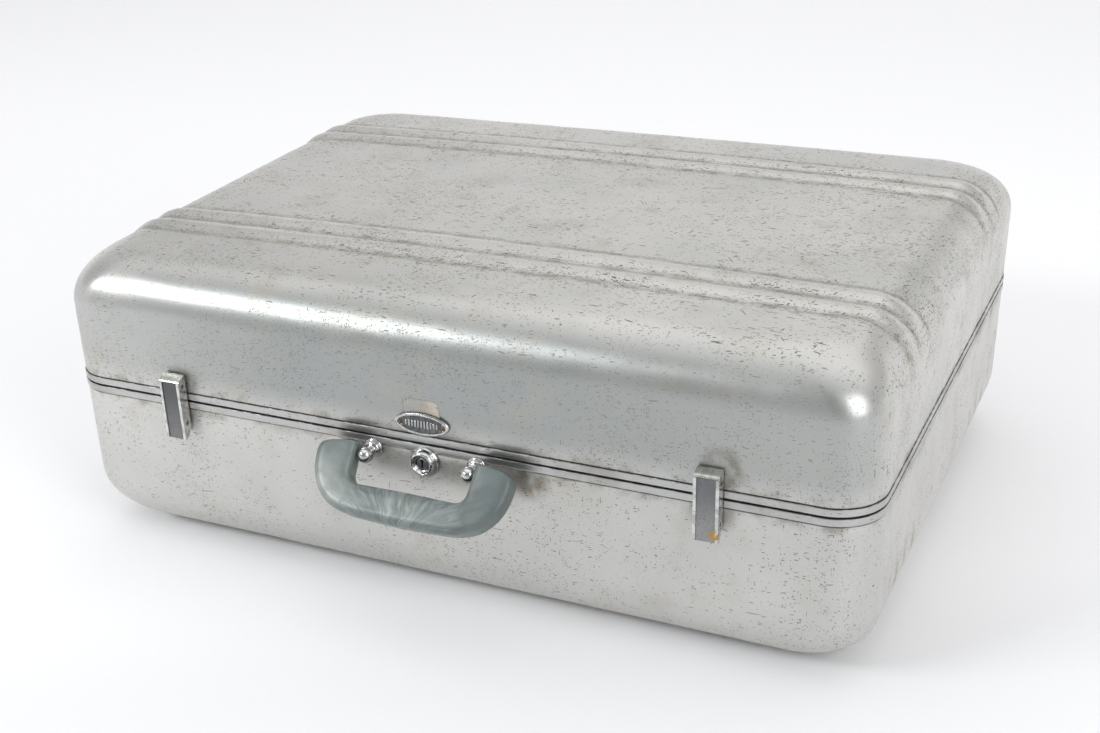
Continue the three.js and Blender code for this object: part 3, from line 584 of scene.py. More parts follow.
def lever_material(side_name, side, tone, paint, speckle):
    """A latch lever: a dark brushed face plate between pale worn flanges and a pale cap."""
    f = Finish("latch_lever_finish_" + side_name, Metallic=0.92)
    depth = -HALF_Y - f.y
    rise = f.z - PARTING
    off = abs(f.x - side * LATCH_X)
    brush = f.noise((0.35, 12, 12), 3)
    patch = f.noise(6, 4)
    f.colour = f.mix(
        f.step(rise, -26, 14),
        grey(tone, (1, 1.0, 0.99)), grey(0.55 * tone, (0.97, 1, 1.04)),
    )
    f.paint(grey(0.7 * tone), f.step(patch, 0.45, 0.7), 0.4)
    pale = f.mix(f.step(patch, 0.4, 0.65), grey(0.66), grey(0.46, (1, 1.01, 0.96)))
    capped = f.step(patch, 0.35, 0.6)
    cap = f.mix(capped, grey(0.60, (1, 1.02, 0.95)), grey(0.44, (0.98, 1.02, 0.92)))
    plate = f.step(off, 6.5, 6.2) * f.step(depth, 8.4, 8.8) * f.step(rise, 17.8, 17.2)
    f.colour = f.mix(plate, f.mix(f.step(rise, 16.4, 17.4), pale, cap), f.colour)
    nicks = f.scatter(
        None, 1.0, (1, speckle, 0.36), ((0.9, 3.5, 3.5), 0.6 * speckle, 0.3, (0, 20, 0)),
    )
    f.paint((0.13, 0.115, 0.09), nicks, 0.75)
    flat = f.vector("MULTIPLY", f.place, (0, 1, 1))
    pins = [(0, -HALF_Y - LATCH_PIN_DEPTH, PARTING + at) for at in (PIVOT_RISE, CATCH_RISE)]
    ring = f.most(*(f.step(f.vector("DISTANCE", flat, pin), 2.6, 1.3) for pin in pins))
    ring *= f.step(off, 8.0, 8.4)
    f.paint((0.09, 0.075, 0.06), ring, 0.75)
    foot = f.step(depth, 3.2, 1.2) * f.step(patch, 0.3, 0.55)
    f.paint((0.12, 0.1, 0.07), foot, 0.7)
    at = (side * LATCH_X + 5.6, -HALF_Y - 9.2, PARTING - 22)
    f.paint((0.42, 0.27, 0.06), f.spot(at, 4.6, 2.6), f.patch(2.2, 3, 0.36, 0.5), paint)
    rough = brush * 0.16 + f.most(nicks, ring, foot) * 0.25 + plate * 0.06 + 0.17
    return f.done(rough, brush * 0.5 + nicks * -0.8, 0.05)


def handle_material():
    """Grey-green pearl plastic: streaks fan out from the middle of the bar, plainer in the arms."""
    f = Finish("pearl_plastic", IOR=1.5, Coat_Weight=0.15, Coat_Roughness=0.2)
    local = f.vector("SUBTRACT", f.place, (0, -HALF_Y - POST_DEPTH, PARTING + POST_RISE))
    up = f.vector("DOT_PRODUCT", local, (0, math.sin(TILT), math.cos(TILT)))
    out = f.vector("DOT_PRODUCT", local, (0, -math.cos(TILT), math.sin(TILT)))
    from_bar = up + 56.0
    bowed = f.x + (f.noise(17, 2) - 0.5) * 14
    angle = f.math("ARCTAN2", bowed, from_bar)
    reach = f.math("SQRT", bowed * bowed + from_bar * from_bar)
    fan = f.node("CombineXYZ", {0: angle * 9.0, 1: reach * 0.035, 2: out * 0.12})
    inputs = {"Vector": fan, "Scale": 1.0, "Detail": 4.0}
    streaks = f.node("TexNoise", inputs, "Fac")
    inputs.update({"Scale": 2.6, "Detail": 3.0, "Distortion": 0.6})
    veins = f.node("TexNoise", inputs, "Fac")
    far = abs(f.x)
    pearl = f.step(streaks, 0.36, 0.66) * f.step(far, 66, 34, 0.25, 1.0)
    glint = f.step(veins, 0.52, 0.7) * f.step(far, 62, 30, 0.1, 1.0)
    f.colour = f.mix(pearl, (0.098, 0.122, 0.119), (0.185, 0.218, 0.21))
    f.paint((0.33, 0.375, 0.355), glint, 0.34)
    f.paint((0.12, 0.146, 0.142), f.patch(24, 3, 0.4, 0.65), 0.35)
    pale = f.step(f.x, -22, -62) * f.step(up, 2, -26) * f.patch(20, 2, 0.3, 0.6, 0.5, 1.0)
    f.paint((0.4, 0.43, 0.395), pale, 0.6)
    eye = f.step(far, 17, 3) * f.step(streaks, 0.4, 0.6) * f.step(abs(up + 34), 11, 2)
    f.paint((0.35, 0.385, 0.335), eye, 0.5)
    fine = f.noise((0.5, 7, 7), 2, (0, 30, 0))
    grubby = f.patch(9, 4, 0.52, 0.75) * 0.35
    f.paint((0.12, 0.11, 0.09), grubby)
    scuffs = f.scatter(None, 1.0, ((5, 1.2, 1.2), 0.12, 0.22, (0, 25, 0)), (1.2, 0.06, 0.3))
    f.paint((0.07, 0.07, 0.065), scuffs, 0.4)
    rough = f.most(scuffs, grubby) * 0.4 + fine * 0.14 + 0.3
    return f.done(rough, fine * 0.3 + (scuffs * -0.6 + f.noise(6, 1)), 0.06, 0.5)


def badge_material():
    """Pale metal rim, dull dark field, ridges a little darker than the rim."""
    f = Finish("badge_metal", Metallic=0.95)
    depth = -HALF_Y - f.y
    on_field = f.step(abs(f.x), 15.6, 15.2)
    inside = f.step(depth, 2.1, 1.75) * on_field
    patch = f.patch(2.6, 3, 0.4, 0.65)
    f.colour = f.mix(patch, grey(0.62), grey(0.42, (1, 0.98, 0.92)))
    f.paint(grey(0.26), f.step(depth, 2.38, 2.33) * on_field, 0.6)
    f.paint(f.mix(patch, (0.1, 0.11, 0.115), (0.2, 0.2, 0.19)), inside)
    f.paint((0.07, 0.05, 0.035), f.step(depth, 0.9, 0.5), 0.7)
    return f.done(patch * 0.12 + inside * 0.25 + 0.13, f.noise(0.8, 2), 0.05, 0.5)


def rust_pin_material():
    f = Finish("rusty_pin", Metallic=0.6)
    rust = f.patch(1.2, 3, 0.35, 0.65)
    f.colour = f.mix(rust, (0.1, 0.045, 0.03), (0.22, 0.16, 0.13))
    return f.done(rust * 0.25 + 0.3, rust, 0.06)


def rubber_material():
    f = Finish("gasket_rubber")
    dust = f.patch(5, 4, 0.45, 0.7)
    f.colour = f.mix(dust, grey(0.018), (0.06, 0.055, 0.045))
    return f.done(dust * 0.2 + 0.55, f.noise(0.7, 2), 0.05, 0.5)


def lining_material():
    """Twill cloth: diagonal ribs over a fine weave, slightly faded in patches."""
    f = Finish("lining_twill", Sheen_Weight=0.25, Sheen_Roughness=0.4)
    rib = f.math("SINE", (f.x + f.y + f.z * 1.3) * 4.2)
    weave = f.math("SINE", (f.x + f.z) * 9.0) * f.math("SINE", (f.y + f.z) * 9.0)
    fuzz = f.noise(0.6, 2)
    f.colour = f.mix(f.patch(110, 4, 0.35, 0.7), (0.075, 0.095, 0.125), (0.12, 0.14, 0.165))
    f.paint((0.17, 0.19, 0.215), f.step(rib, -0.6, 0.9, 0.0, 0.35))
    f.paint((0.14, 0.115, 0.08), f.patch(26, 5, 0.56, 0.75), 0.3)
    rough = f.step(fuzz, 0.2, 0.8, 0.78, 0.95)
    return f.done(rough, rib * 0.5 + (weave * 0.3 + fuzz), 0.12)


def paper_material():
    """Old paper, worn thin on the left, where the metal under it shows through."""
    f = Finish("label_paper")
    fibre = f.noise((2.5, 2.5, 0.6), 4, (0, 40, 0))
    f.colour = f.mix(fibre, (0.52, 0.48, 0.40), (0.44, 0.41, 0.34))
    thin = f.step(f.patch(3.4, 3, 0.42, 0.6), 0.0, 0.8, 0.75, 1.0)
    f.paint((0.345, 0.345, 0.325), f.step(f.x, 6.5, 1.0), thin)
    f.paint((0.33, 0.26, 0.18), f.patch(5.5, 4, 0.46, 0.68), 0.35)
    top = f.step(f.z, PARTING + 32.2, PARTING + 32.9) * 0.8
    f.paint((0.16, 0.15, 0.13), f.most(f.step(f.x, -13.2, -14.2), top), 0.5)
    return f.done(f.step(fibre, 0.2, 0.8, 0.5, 0.75), fibre, 0.08)


TO_VIEWER = (0.463, -0.886, 0)


def floor_material():
    """Pale paper with painted shade: a little darker towards the room in front and lighter at the
    back, and a faint painted glow far out.
    """
    f = Finish("pale_paper_floor_painted_shade")
    near = f.vector("DOT_PRODUCT", f.place, TO_VIEWER)
    to_right = f.vector("DOT_PRODUCT", f.place, (0.886, 0.463, 0))
    f.colour = f.mix(f.noise(900, 2), (0.93, 0.928, 0.94), (0.945, 0.942, 0.95))
    # Painted shade: the floor darkens towards the viewer and the room in front, so the case's front
    # reflects a darker room.
    f.paint((0.86, 0.86, 0.87), f.step(near, 180, 330))
    f.paint((0.7, 0.71, 0.72), f.step(near, 385, 900), f.step(to_right, 560, 160))
    # Painted light: the floor is lighter towards the back and glows faintly far out, though it is
    # no lamp.
    f.paint((0.95, 0.95, 0.96), f.step(f.y, 250, 1500))
    far_floor_glow = f.most(f.step(f.y, -150, 900), f.step(f.vector("LENGTH", f.place), 900, 1800))
    f.set(Base_Color=f.colour, Roughness=0.6)
    f.set(Emission_Color=grey(1.0), Emission_Strength=far_floor_glow * 0.1)
    return f.material


SHELL = shell_material()
RAIL = rail_material()
FITTING = fitting_material("fitting_steel", 0.52, (0.14, 0.12, 0.09), 0.2)
HINGE = fitting_material("hinge_steel", 0.58, (0.16, 0.13, 0.09), 0.16, (18, 1.2, 1.2), 0.2)
STAY = fitting_material("stay_steel", 0.60, (0.2, 0.17, 0.12), 0.14, (1.2, 20, 20), 0.12)
DARK_PIN = fitting_material("dark_pin_steel", 0.12, (0.05, 0.035, 0.025), 0.24, 1, 0.3)
RIVET = fitting_material("rivet_steel", 0.42, (0.12, 0.09, 0.06), 0.2, 1, 0.2)
CHROME = chrome_material()
PLUG = fitting_material("plug_steel", 0.3, (0.07, 0.06, 0.05), 0.22, 1, 0.25)
LEVERS = {
    "left": lever_material("left", -1, 0.2, 0.0, 0.1),
    "right": lever_material("right", 1, 0.3, 1.0, 0.3),
}
PLASTIC = handle_material()
BADGE = badge_material()
RUST_PIN = rust_pin_material()
RUBBER = rubber_material()
LINING = lining_material()
PAPER = paper_material()

# ---- Shells ----

# Steps along a plan_loop: in a long side, a short side and a corner.
STEPS = (110, 176, 22)
LINING_STEPS = (60, 46, 12)
SHELL_WALL = 1.6
OPEN_EDGE = RAIL_BAND + 0.3
LAST_INSET = HALF_Y - 1.2


def plan_loop(half_x, half_y, radius, long_steps, short_steps, corner_steps):
    """A rectangle with round corners: points and the outward normals there, both in plan."""
    points, normals = [], []
    middle = np.array([half_x - radius, half_y - radius])
    signs = ((1, 1), (-1, 1), (-1, -1), (1, -1))
    for k in range(4):
        angles = np.radians(np.linspace(0, 90, corner_steps + 1) + 90 * k)
        out = np.column_stack([np.cos(angles), np.sin(angles)])
        arc = middle * signs[k] + radius * out
        end = middle * signs[(k + 1) % 4] + radius * out[-1]
        t = np.linspace(0, 1, (short_steps if k % 2 else long_steps) + 1)[1:-1, None]
        points += [arc, arc[-1] * (1 - t) + end * t]
        normals += [out, np.repeat(out[-1:], len(t), axis=0)]
    return np.concatenate(points), np.concatenate(normals)


def crown_lift(half, share, x, y):
    across = np.maximum(0, 1 - (x / HALF_X) ** 2)
    along = np.maximum(0, 1 - (y / HALF_Y) ** 2)
    return half["crown"] * share ** 3 * across * along


def rib_height(y):
    """Two shallow rounded ribs in each pair, with a tight valley on either side of each."""
    total = np.zeros_like(y)
    for pair in (-RIB_PAIR_Y, RIB_PAIR_Y):
        for side in (-0.5, 0.5):
            off = np.abs(y - pair - side * RIB_WIDTH) / (RIB_WIDTH / 2)
            total += np.where(off < 1, np.cos(np.pi / 2 * np.minimum(off, 1)) ** 1.55, 0)
    return RIB_HEIGHT * total


WAVES = [
    (random.normal(size=3) / length, random.uniform(0, 2 * math.pi), size)
    for length, size in (
        (150, 0.10), (110, 0.09), (80, 0.07), (60, 0.055), (45, 0.035), (34, 0.02), (26, 0.014),
    )
    for _ in range(3)
]
DENTS = (
    ((262, -196, 214), 11, 0.9), ((150, -60, 224), 26, 0.5), ((-120, 40, 224), 34, 0.45),
    ((250, 90, 222), 20, 0.5), ((284, -205, 96), 12, 0.4), ((-60, -228, 60), 30, 0.35),
    ((120, -228, 160), 28, 0.35), ((305, 40, 90), 30, 0.5), ((-305, -60, 150), 26, 0.4),
    ((60, 228, 80), 34, 0.5), ((-210, 228, 170), 26, 0.4),
)


def dented(points, outward):
    """The points pushed in a little by broad waves and by a few dents."""
    depth = np.zeros(points.shape[:-1])
    for direction, phase, size in WAVES:
        depth += size * np.sin(points @ direction * 2 * np.pi + phase)
    depth = -0.5 * (np.abs(depth) + 0.12)
    for centre, radius, size in DENTS:
        distance = np.linalg.norm(points - np.array(centre), axis=-1)
        depth -= size * np.exp(-((distance / radius) ** 2) * 2)
    return points + outward * depth[..., None]


def drawn_rows(half, offset, start, side_rows, edge_rows, panel_rows, corner_spread):
    """Rows (inset, rise, corner radius, angle) up a shell's side and over to its middle."""
    depth, edge = half["depth"], half["edge"]
    bend = edge - offset
    rises = np.linspace(start, depth - edge, side_rows + 1)[:-1]
    rows = [(offset, rise, CORNER - offset, 0.0) for rise in rises]
    for angle in np.linspace(0, math.pi / 2, edge_rows + 1):
        inset = edge - bend * math.cos(angle)
        rise = depth - edge + bend * math.sin(angle)
        grown = CORNER_GROWTH * edge * (1 - math.cos(angle))
        rows.append((inset, rise, CORNER + grown - offset, angle))
    for inset in np.linspace(edge, LAST_INSET, panel_rows + 1)[1:]:
        radius = CORNER + CORNER_GROWTH * edge - offset
        radius += corner_spread * min(1, (inset - edge) / 73)
        rows.append((inset, depth - offset, min(radius, 0.9 * (HALF_Y - inset)), math.pi / 2))
    return rows


def skin(half, rows, ribbed):
    """Loops from the shell's open edge to the middle of its panel."""
    loops, outs = [], []
    for inset, rise, radius, angle in rows:
        plan, out = plan_loop(HALF_X - inset, HALF_Y - inset, radius, *STEPS)
        x, y = plan[:, 0], plan[:, 1]
        lift = crown_lift(half, rise / half["depth"], x, y)
        normal = np.column_stack([out * math.cos(angle), np.full(len(x), math.sin(angle))])
        fade = min(1.0, max(0.0, (angle / (math.pi / 2) - 0.12) / 0.75))
        height = rib_height(y) * (fade * fade * (3 - 2 * fade) * ribbed)
        points = np.column_stack([x, y, rise + lift]) + normal * height[:, None]
        points[:, 2] = PARTING + half["side"] * points[:, 2]
        normal[:, 2] *= half["side"]
        loops.append(points)
        outs.append(normal)
    return np.array(loops), np.array(outs)


def strip_across(loop, start):
    """Faces across a narrow loop, between points that mirror each other in y."""
    def order(i):
        x, y = round(float(loop[i][0]), 6), abs(float(loop[i][1]))
        return (x, -y if x > 0 else y)

    indices = sorted(range(len(loop)), key=order)
    upper = [start + i for i in indices if loop[i][1] > 1e-6]
    lower = [start + i for i in indices if loop[i][1] < -1e-6]
    faces = [
        [upper[k], upper[k + 1], lower[k + 1], lower[k]]
        for k in range(len(upper) - 1)
    ]
    for i in range(len(loop)):
        if abs(loop[i][1]) <= 1e-6:
            k = 0 if loop[i][0] < 0 else -1
            faces.append([start + i, upper[k], lower[k]])
    return faces


def two_skins(outer, inner):
    """An outer and an inner skin, joined at the open edge and closed in the middle."""
    points, faces = loft(np.concatenate([outer[::-1], inner]))
    last = len(points) - outer.shape[1]
    return points, faces + strip_across(outer[-1], 0) + strip_across(inner[-1], last)


def build_shell(half):
    edge_rows = [(0.45, OPEN_EDGE, CORNER, 0.0), (0.12, OPEN_EDGE + 0.12, CORNER, 0.0)]
    rows = edge_rows + drawn_rows(half, 0.0, OPEN_EDGE + 0.45, 12, 22, 84, 12)
    outer = dented(*skin(half, rows, 1))
    inner, _ = skin(half, drawn_rows(half, SHELL_WALL, OPEN_EDGE, 2, 8, 6, 12), 0)
    name = half["name"] + "_shell"
    make_piece(name + "_skin", two_skins(outer, inner), half["name"], SHELL, name)


build_shell(BASE)
build_shell(LID)

# ---- Rails and gasket ----


def swept(name, section, body, material, node, fillet):
    """A ring round the parting from a closed section of (inset, rise)."""
    loops = []
    for inset, rise in rounded(section, fillet, steps=3):
        plan, _ = plan_loop(HALF_X - inset, HALF_Y - inset, CORNER - inset, *STEPS)
        loops.append(np.column_stack([plan, np.full(len(plan), PARTING + rise)]))
    make_piece(name, loft(loops, wrap=True), body, material, node, sharp=50)


bulges = ((0, RAIL_BAND), (0.12, 4.6), (0.15, 3.2), (0.1, 1.9), (0, SEAM))
band = [(-RAIL_PROUD - bulge, rise) for bulge, rise in bulges]
swept("base_rail_ring", [
    *[(inset, -rise) for inset, rise in band[::-1]],
    (2.5, -RAIL_BAND), (2.5, -25), (4, -25), (4, -3), (8.7, -3), (8.7, LIP_RISE), (7.5, LIP_RISE),
    (7.5, -SEAM), (5.8, -SEAM), (5.8, -1.9), (2.2, -1.9), (2.2, -SEAM),
], "base", RAIL, "base_rail", 0.4)
swept("lid_rail_ring", [
    *band, (7, SEAM), (7, 3), (4, 3), (4, 25), (2.5, 25), (2.5, RAIL_BAND),
], "lid", RAIL, "lid_rail", 0.4)
swept("gasket_ring", [
    (2.5, -1.6), (5.5, -1.6), (5.5, 0.1), (4.9, 0.4), (3.1, 0.4), (2.5, 0.1),
], "base", RUBBER, "gasket", 0.25)

# ---- Linings ----

LINING_START = 26.4
LINING_OFFSET = 3.0


def build_lining(half):
    """Cloth glued to the inside of a shell, with a turned and stitched edge."""
    sheets = []
    for offset, on_face in ((LINING_OFFSET, 0), (LINING_OFFSET + 0.9, 1)):
        loops = []
        rows = drawn_rows(half, offset, LINING_START, 8, 11, 23, 0)
        for k, (inset, rise, corner, _) in enumerate(rows):
            hem = 0.5 * on_face if k <= 1 else 0.0
            half_x, half_y = HALF_X - inset - hem, HALF_Y - inset - hem
            x, y = plan_loop(half_x, half_y, corner, *LINING_STEPS)[0].T
            lift = rise + crown_lift(half, rise / half["depth"], x, y)
            if rise > 60:
                wave = min(1, (HALF_Y - inset) / 40) * on_face
                lift = lift - 0.25 * (1 + np.sin(x / 19 + 2.0 * np.sin(y / 47))) * wave
            loops.append(np.column_stack([x, y, PARTING + half["side"] * lift]))
        sheets.append(np.array(loops))
    body = half["name"]
    name = body + "_lining"
    lining = make_piece(name + "_cloth", two_skins(*sheets), body, LINING, name)
    sides = 2 * (half["depth"] - LINING_START) - 2 * LINING_OFFSET
    flat = ((2 * HALF_X + sides) * MM, (2 * HALF_Y + sides) * MM)


build_lining(BASE)
build_lining(LID)

# ---- Latches ----

LEVER_HALF = 8.5


def build_lever(name, side):
    x = side * LATCH_X

    def block(half_width, outline):
        return slab(side_outline(outline), x - half_width, x + half_width)

    outline = rounded([
        (1.2, -18.5), (4.6, -24.6), (7.6, -27.6), (9.4, -27.6), (10, -27), (10, 17.2), (8.6, 19),
        (1.2, 21.5),
    ], 0.8, steps=2)
    cutters = [
        block(LEVER_HALF - 1.5, [(0, -30), (8, -30), (8, 16.6), (1.2, 20), (0, 20)]),
        block(LEVER_HALF - 2.2, [(9.2, -30), (12, -30), (12, 16.2), (9.2, 17.3)]),
    ]
    latch = "latch_" + name
    solid = block(LEVER_HALF, outline)
    carved("lever_" + name, solid, cutters, latch, LEVERS[name], "latch_lever_" + name, 0.35)
    low, high = x - LEVER_HALF - 0.25, x + LEVER_HALF + 0.25
    profile = [(0, low), (0.8, low), (1.15, low + 0.3), (1.15, high - 0.3), (0.8, high), (0, high)]
    for kind, rise, body in (("pivot", PIVOT_RISE, "base"), ("catch", CATCH_RISE, latch)):
        pin = turned_across(profile, (-HALF_Y - LATCH_PIN_DEPTH, PARTING + rise), 28)
        pin_name = "%s_pin_%s" % (kind, name)
        make_piece(pin_name, pin, body, DARK_PIN, "latch_" + pin_name, sharp=40)


for name, side in SIDES:
    build_lever(name, side)

# ---- Lock and handle ----

KEYWAY_FLOOR = 1.5
collar = rounded([
    (4.9, -8.2), (6.2, -8.2), (6.2, 0.3), (11, 0.3), (11.1, 1.6), (10.2, 2.4), (9.6, 4.4),
    (8.8, 6.2), (7.9, 7), (6.9, 7), (5.8, 4.8), (4.9, 4.7),
], 0.5, steps=3)
collar_ring = turned([*collar, collar[0]], 0, LOCK_RISE, sides=80)
make_piece("lock_collar_ring", collar_ring, "base", CHROME, "lock_collar")
plug = open_profile([
    (0, -12.6), (3, -12.6), (3, -9), (4.6, -9), (4.6, 4.2), (4.0, 4.75), (0, 4.8),
], 0.3)


def key_slot(half_width, low, high):
    corners = [(KEYWAY_FLOOR, low), (6, low), (6, high), (KEYWAY_FLOOR, high)]
    outline = [(depth, LOCK_RISE + rise) for depth, rise in corners]
    return slab(side_outline(outline), -half_width, half_width)


slots = [key_slot(0.75, -3, 3), key_slot(1.2, 0.9, 2.7)]
barrel = turned(plug, 0, LOCK_RISE, sides=64)
carved("lock_plug_barrel", barrel, slots, "lock", PLUG, "lock_plug", 0.12, 2)

BALL = 5.6
ball = [
    (BALL * math.cos(a), POST_DEPTH + BALL * math.sin(a))
    for a in np.linspace(-0.9, math.pi / 2, 18)[:-1]
]
foot = open_profile([
    (0, -8.6), (2.5, -8.6), (2.5, 0.3), (7.0, 0.3), (7.0, 1.3), (6.4, 1.9), (5.7, 2.1), (5.7, 3.6),
    (5.0, 4.3), (3.5, 5.2), (2.9, 7.2), (3.2, 8.9),
], 0.45)
post_profile = foot + ball + [(0, POST_DEPTH + BALL)]
for name, side in SIDES:
    post = turned(post_profile, side * POST_X, POST_RISE, sides=64)
    make_piece("ball_post_" + name, post, "base", CHROME, "handle_post_" + name)
    low, high = sorted((side * (POST_X + 0.5), side * 50))
    profile = [(0, low), (1.8, low), (1.8, high), (0, high)]
    pin = turned_across(profile, (-HALF_Y - POST_DEPTH, PARTING + POST_RISE), 32)
    make_piece("grip_pin_" + name, pin, "handle", RIVET, "handle_pin_" + name, sharp=40)


def curve_points(start, parts, count):
    """Even points along a path of lines (end) and quadratic curves (bend, end)."""
    dense = [np.array(start, dtype=float)]
    for part in parts:
        here = dense[-1]
        bend, end = ((here + part) / 2, part) if np.ndim(part[0]) == 0 else part
        for t in np.linspace(0, 1, 25)[1:]:
            dense.append(quadratic(here, np.array(bend), np.array(end), t))
    dense = np.array(dense)
    along = np.concatenate([[0], np.cumsum(np.linalg.norm(np.diff(dense, axis=0), axis=1))])
    even = np.linspace(0, along[-1], count)
    return np.column_stack([np.interp(even, along, dense[:, k]) for k in (0, 1)])


def build_grip():
    """A flat bail with soft edges, lofted between its outer and inner outlines."""
    outer = curve_points((-69, 4), [
        ((-73.6, 3), (-73.9, -3)), ((-73.2, -26), (-57, -37)), ((-48, -42.4), (-34, -43.2)),
        (0, -44.3),
    ], 64)
    inner = curve_points((-45.2, 7), [
        (-45.0, -6), (-44.6, -14), ((-43.6, -21.4), (-35.5, -21.2)), (0, -20.7),
    ], 64)
    mirror = np.array([-1, 1])
    outer = np.concatenate([outer, outer[-2::-1] * mirror])
    inner = np.concatenate([inner, inner[-2::-1] * mirror])
    across, through = (np.sign(c) * np.abs(c) ** (2 / 4.6) for c in circle(56))
    up = np.array([0, math.sin(TILT), math.cos(TILT)])
    out = np.array([0, -math.cos(TILT), math.sin(TILT)])
    pivot = np.array([0, -HALF_Y - POST_DEPTH, PARTING + POST_RISE])
    loops = []
    for i in range(len(outer)):
        to_end = abs(i / (len(outer) - 1) * 2 - 1)
        thick = 9.0 - 1.2 * max(0.0, to_end - 0.5) / 0.5
        flat = (outer[i] + inner[i]) / 2 + (outer[i] - inner[i]) / 2 * across[:, None]
        loop = pivot + flat[:, :1] * np.array([1, 0, 0]) + flat[:, 1:] * up
        loops.append(loop + (thick * through + 0.8)[:, None] * out)
    capped = []
    for row, order in ((0, 1), (-1, -1)):
        centre = loops[row].mean(axis=0)
        inward = loops[row + order].mean(axis=0) - centre
        inward /= np.linalg.norm(inward)
        capped.append([
            centre + (loops[row] - centre) * wide - inward * lift
            for wide, lift in ((0.62, 1.8), (0.84, 1.35), (0.95, 0.75))
        ])
    shape = loft(capped[0] + loops + capped[1][::-1], caps=True)
    make_piece("pearl_grip", shape, "handle", PLASTIC, "handle_grip")


build_grip()

# ---- Badge and label ----


def oval(width, height, depth, count=112):
    right, up = circle(count)
    front = np.full(count, -HALF_Y - depth)
    rise = PARTING + BADGE_RISE + height / 2 * up
    return np.column_stack([width / 2 * right, front, rise])


def build_badge():
    parts = [loft([oval(*ring) for ring in (
        (40.2, 16.2, 0.3), (41, 17, 0.6), (41, 17, 1.4), (40.6, 16.6, 2.0), (39.6, 15.6, 2.4),
        (37.6, 13.8, 2.5), (36.2, 12.7, 2.35), (35.6, 12.2, 1.95), (35.3, 12.0, 1.7),
        (34.6, 11.6, 1.65), (20, 6, 1.65), (6, 2, 1.65),
    )], caps=True)]
    # Plain upright ridges fill the field.
    for k in range(-5, 6):
        x = k * 2.35
        width = 0.62 if k % 2 else 0.78
        tall = 3.1 * math.sqrt(1 - (x / 16.5) ** 2)
        low, high = BADGE_RISE - tall, BADGE_RISE + tall
        ridge = rounded([
            (1.5, low), (2.0, low + 0.15), (2.3, low + 0.6),
            (2.3, high - 0.6), (2.0, high - 0.15), (1.5, high),
        ], 0.2, steps=2)
        parts.append(slab(side_outline(ridge), x - width, x + width))
    make_piece("badge_plate", together(*parts), "lid", BADGE, "name_badge", sharp=42)
    stud = open_profile([
        (0, -1.8), (1.1, -1.8), (1.1, 1.7), (1.9, 1.7), (1.75, 2.6), (1.1, 3.1), (0, 3.2),
    ], 0.25)
    for name, _ in SIDES:
        node = "badge_pin_" + name
        pin = turned(stud, node_middle(node)[0], BADGE_RISE, sides=32)
        make_piece("badge_stud_" + name, pin, "lid", RUST_PIN, node)


build_badge()


def build_label():
    """A scrap of old paper label, torn at its edges, stuck to the lid's front."""
    columns, rows = 44, 22
    tear = random.normal(0, 0.35, size=(4, 60))
    grid = []
    for j in range(rows + 1):
        v = j / rows
        for i in range(columns + 1):
            u = i / columns
            left = -14.5 + tear[0, j] + 1.2 * max(0, 0.3 - v)
            right = 13.0 + tear[1, j] - 2.2 * max(0, v - 0.55)
            bottom = 20.5 + tear[2, i]
            top = 33.0 + tear[3, i] - 2.5 * max(0, u - 0.7) - 6.6 * max(0, 0.18 - u)
            grid.append((left * (1 - u) + right * u, bottom * (1 - v) + top * v))
    x, rise = np.array(grid).T
    curl = 0.16 * np.abs(np.sin(x * 0.9) * np.sin(rise * 1.3))
    layers = [
        np.column_stack([x, -HALF_Y - depth, PARTING + rise])
        for depth in (np.full(len(x), -0.1), 0.1 + curl)
    ]
    index = np.arange(len(x)).reshape(rows + 1, columns + 1)
    corners = (index[:-1, :-1], index[:-1, 1:], index[1:, 1:], index[1:, :-1])
    back = np.stack(corners, axis=-1).reshape(-1, 4)
    faces = back.tolist() + (back[:, ::-1] + len(x)).tolist()
    edge = [*index[0, :], *index[1:, -1], *index[-1, -2::-1], *index[-2:0:-1, 0]]
    for a, b in zip(edge, edge[1:] + edge[:1]):
        faces.append([b, a, a + len(x), b + len(x)])
    make_piece("label_scrap", (np.concatenate(layers), faces), "lid", PAPER)


build_label()

# ---- Hinges, stays and rivets ----

HINGE_HALF = 30
KNUCKLE = 12
BARREL = 3.4
LEAF_LOW, LEAF_HIGH = 0.7, 2.2


def knuckle_outline(side):
    """A plate that leaves the barrel on the shell's side."""
    start = math.acos(max(-1.0, min(1.0, (LEAF_HIGH - HINGE_DEPTH) / BARREL)))
    arc = [
        (HINGE_DEPTH + BARREL * math.cos(a), side * BARREL * math.sin(a))
        for a in np.linspace(start, 0.06 - math.pi, 30)
    ]
    return [(LEAF_LOW, side * 5.5), (LEAF_HIGH, side * 5.5), *arc, (LEAF_LOW, 0.0)]


def build_hinge(side_name, x):
    for half in (BASE, LID):
        name, side = half["name"], half["side"]
        corners = ((LEAF_LOW, 4.0), (LEAF_HIGH, 4.0), (LEAF_HIGH, 22), (LEAF_LOW, 22))
        plate = rounded([(depth, side * rise) for depth, rise in corners], 0.25, steps=2)
        parts = [slab(side_outline(plate, BACK), x - HINGE_HALF, x + HINGE_HALF)]
        for k in range(0 if side < 0 else 1, 5, 2):
            start = x - HINGE_HALF + k * KNUCKLE + 0.15
            outline = side_outline(knuckle_outline(side), BACK)
            parts.append(slab(outline, start, start + KNUCKLE - 0.3))
        leaf = "leaf_%s_%s" % (name, side_name)
        make_piece(leaf, together(*parts), name, HINGE, "hinge_" + leaf, 0.2, 40, 2)
    end = ((0, 1.5), (1.8, 1.4), (2.4, 0.8), (2.4, 0.2), (1.4, 0.2))
    profile = [(radius, x - HINGE_HALF - past) for radius, past in end]
    profile += [(radius, x + HINGE_HALF + past) for radius, past in end[::-1]]
    pin = turned_across(open_profile(profile, 0.2), (HALF_Y + HINGE_DEPTH, PARTING), 32)
    make_piece("hinge_rod_" + side_name, pin, "base", RIVET, "hinge_pin_" + side_name, sharp=40)


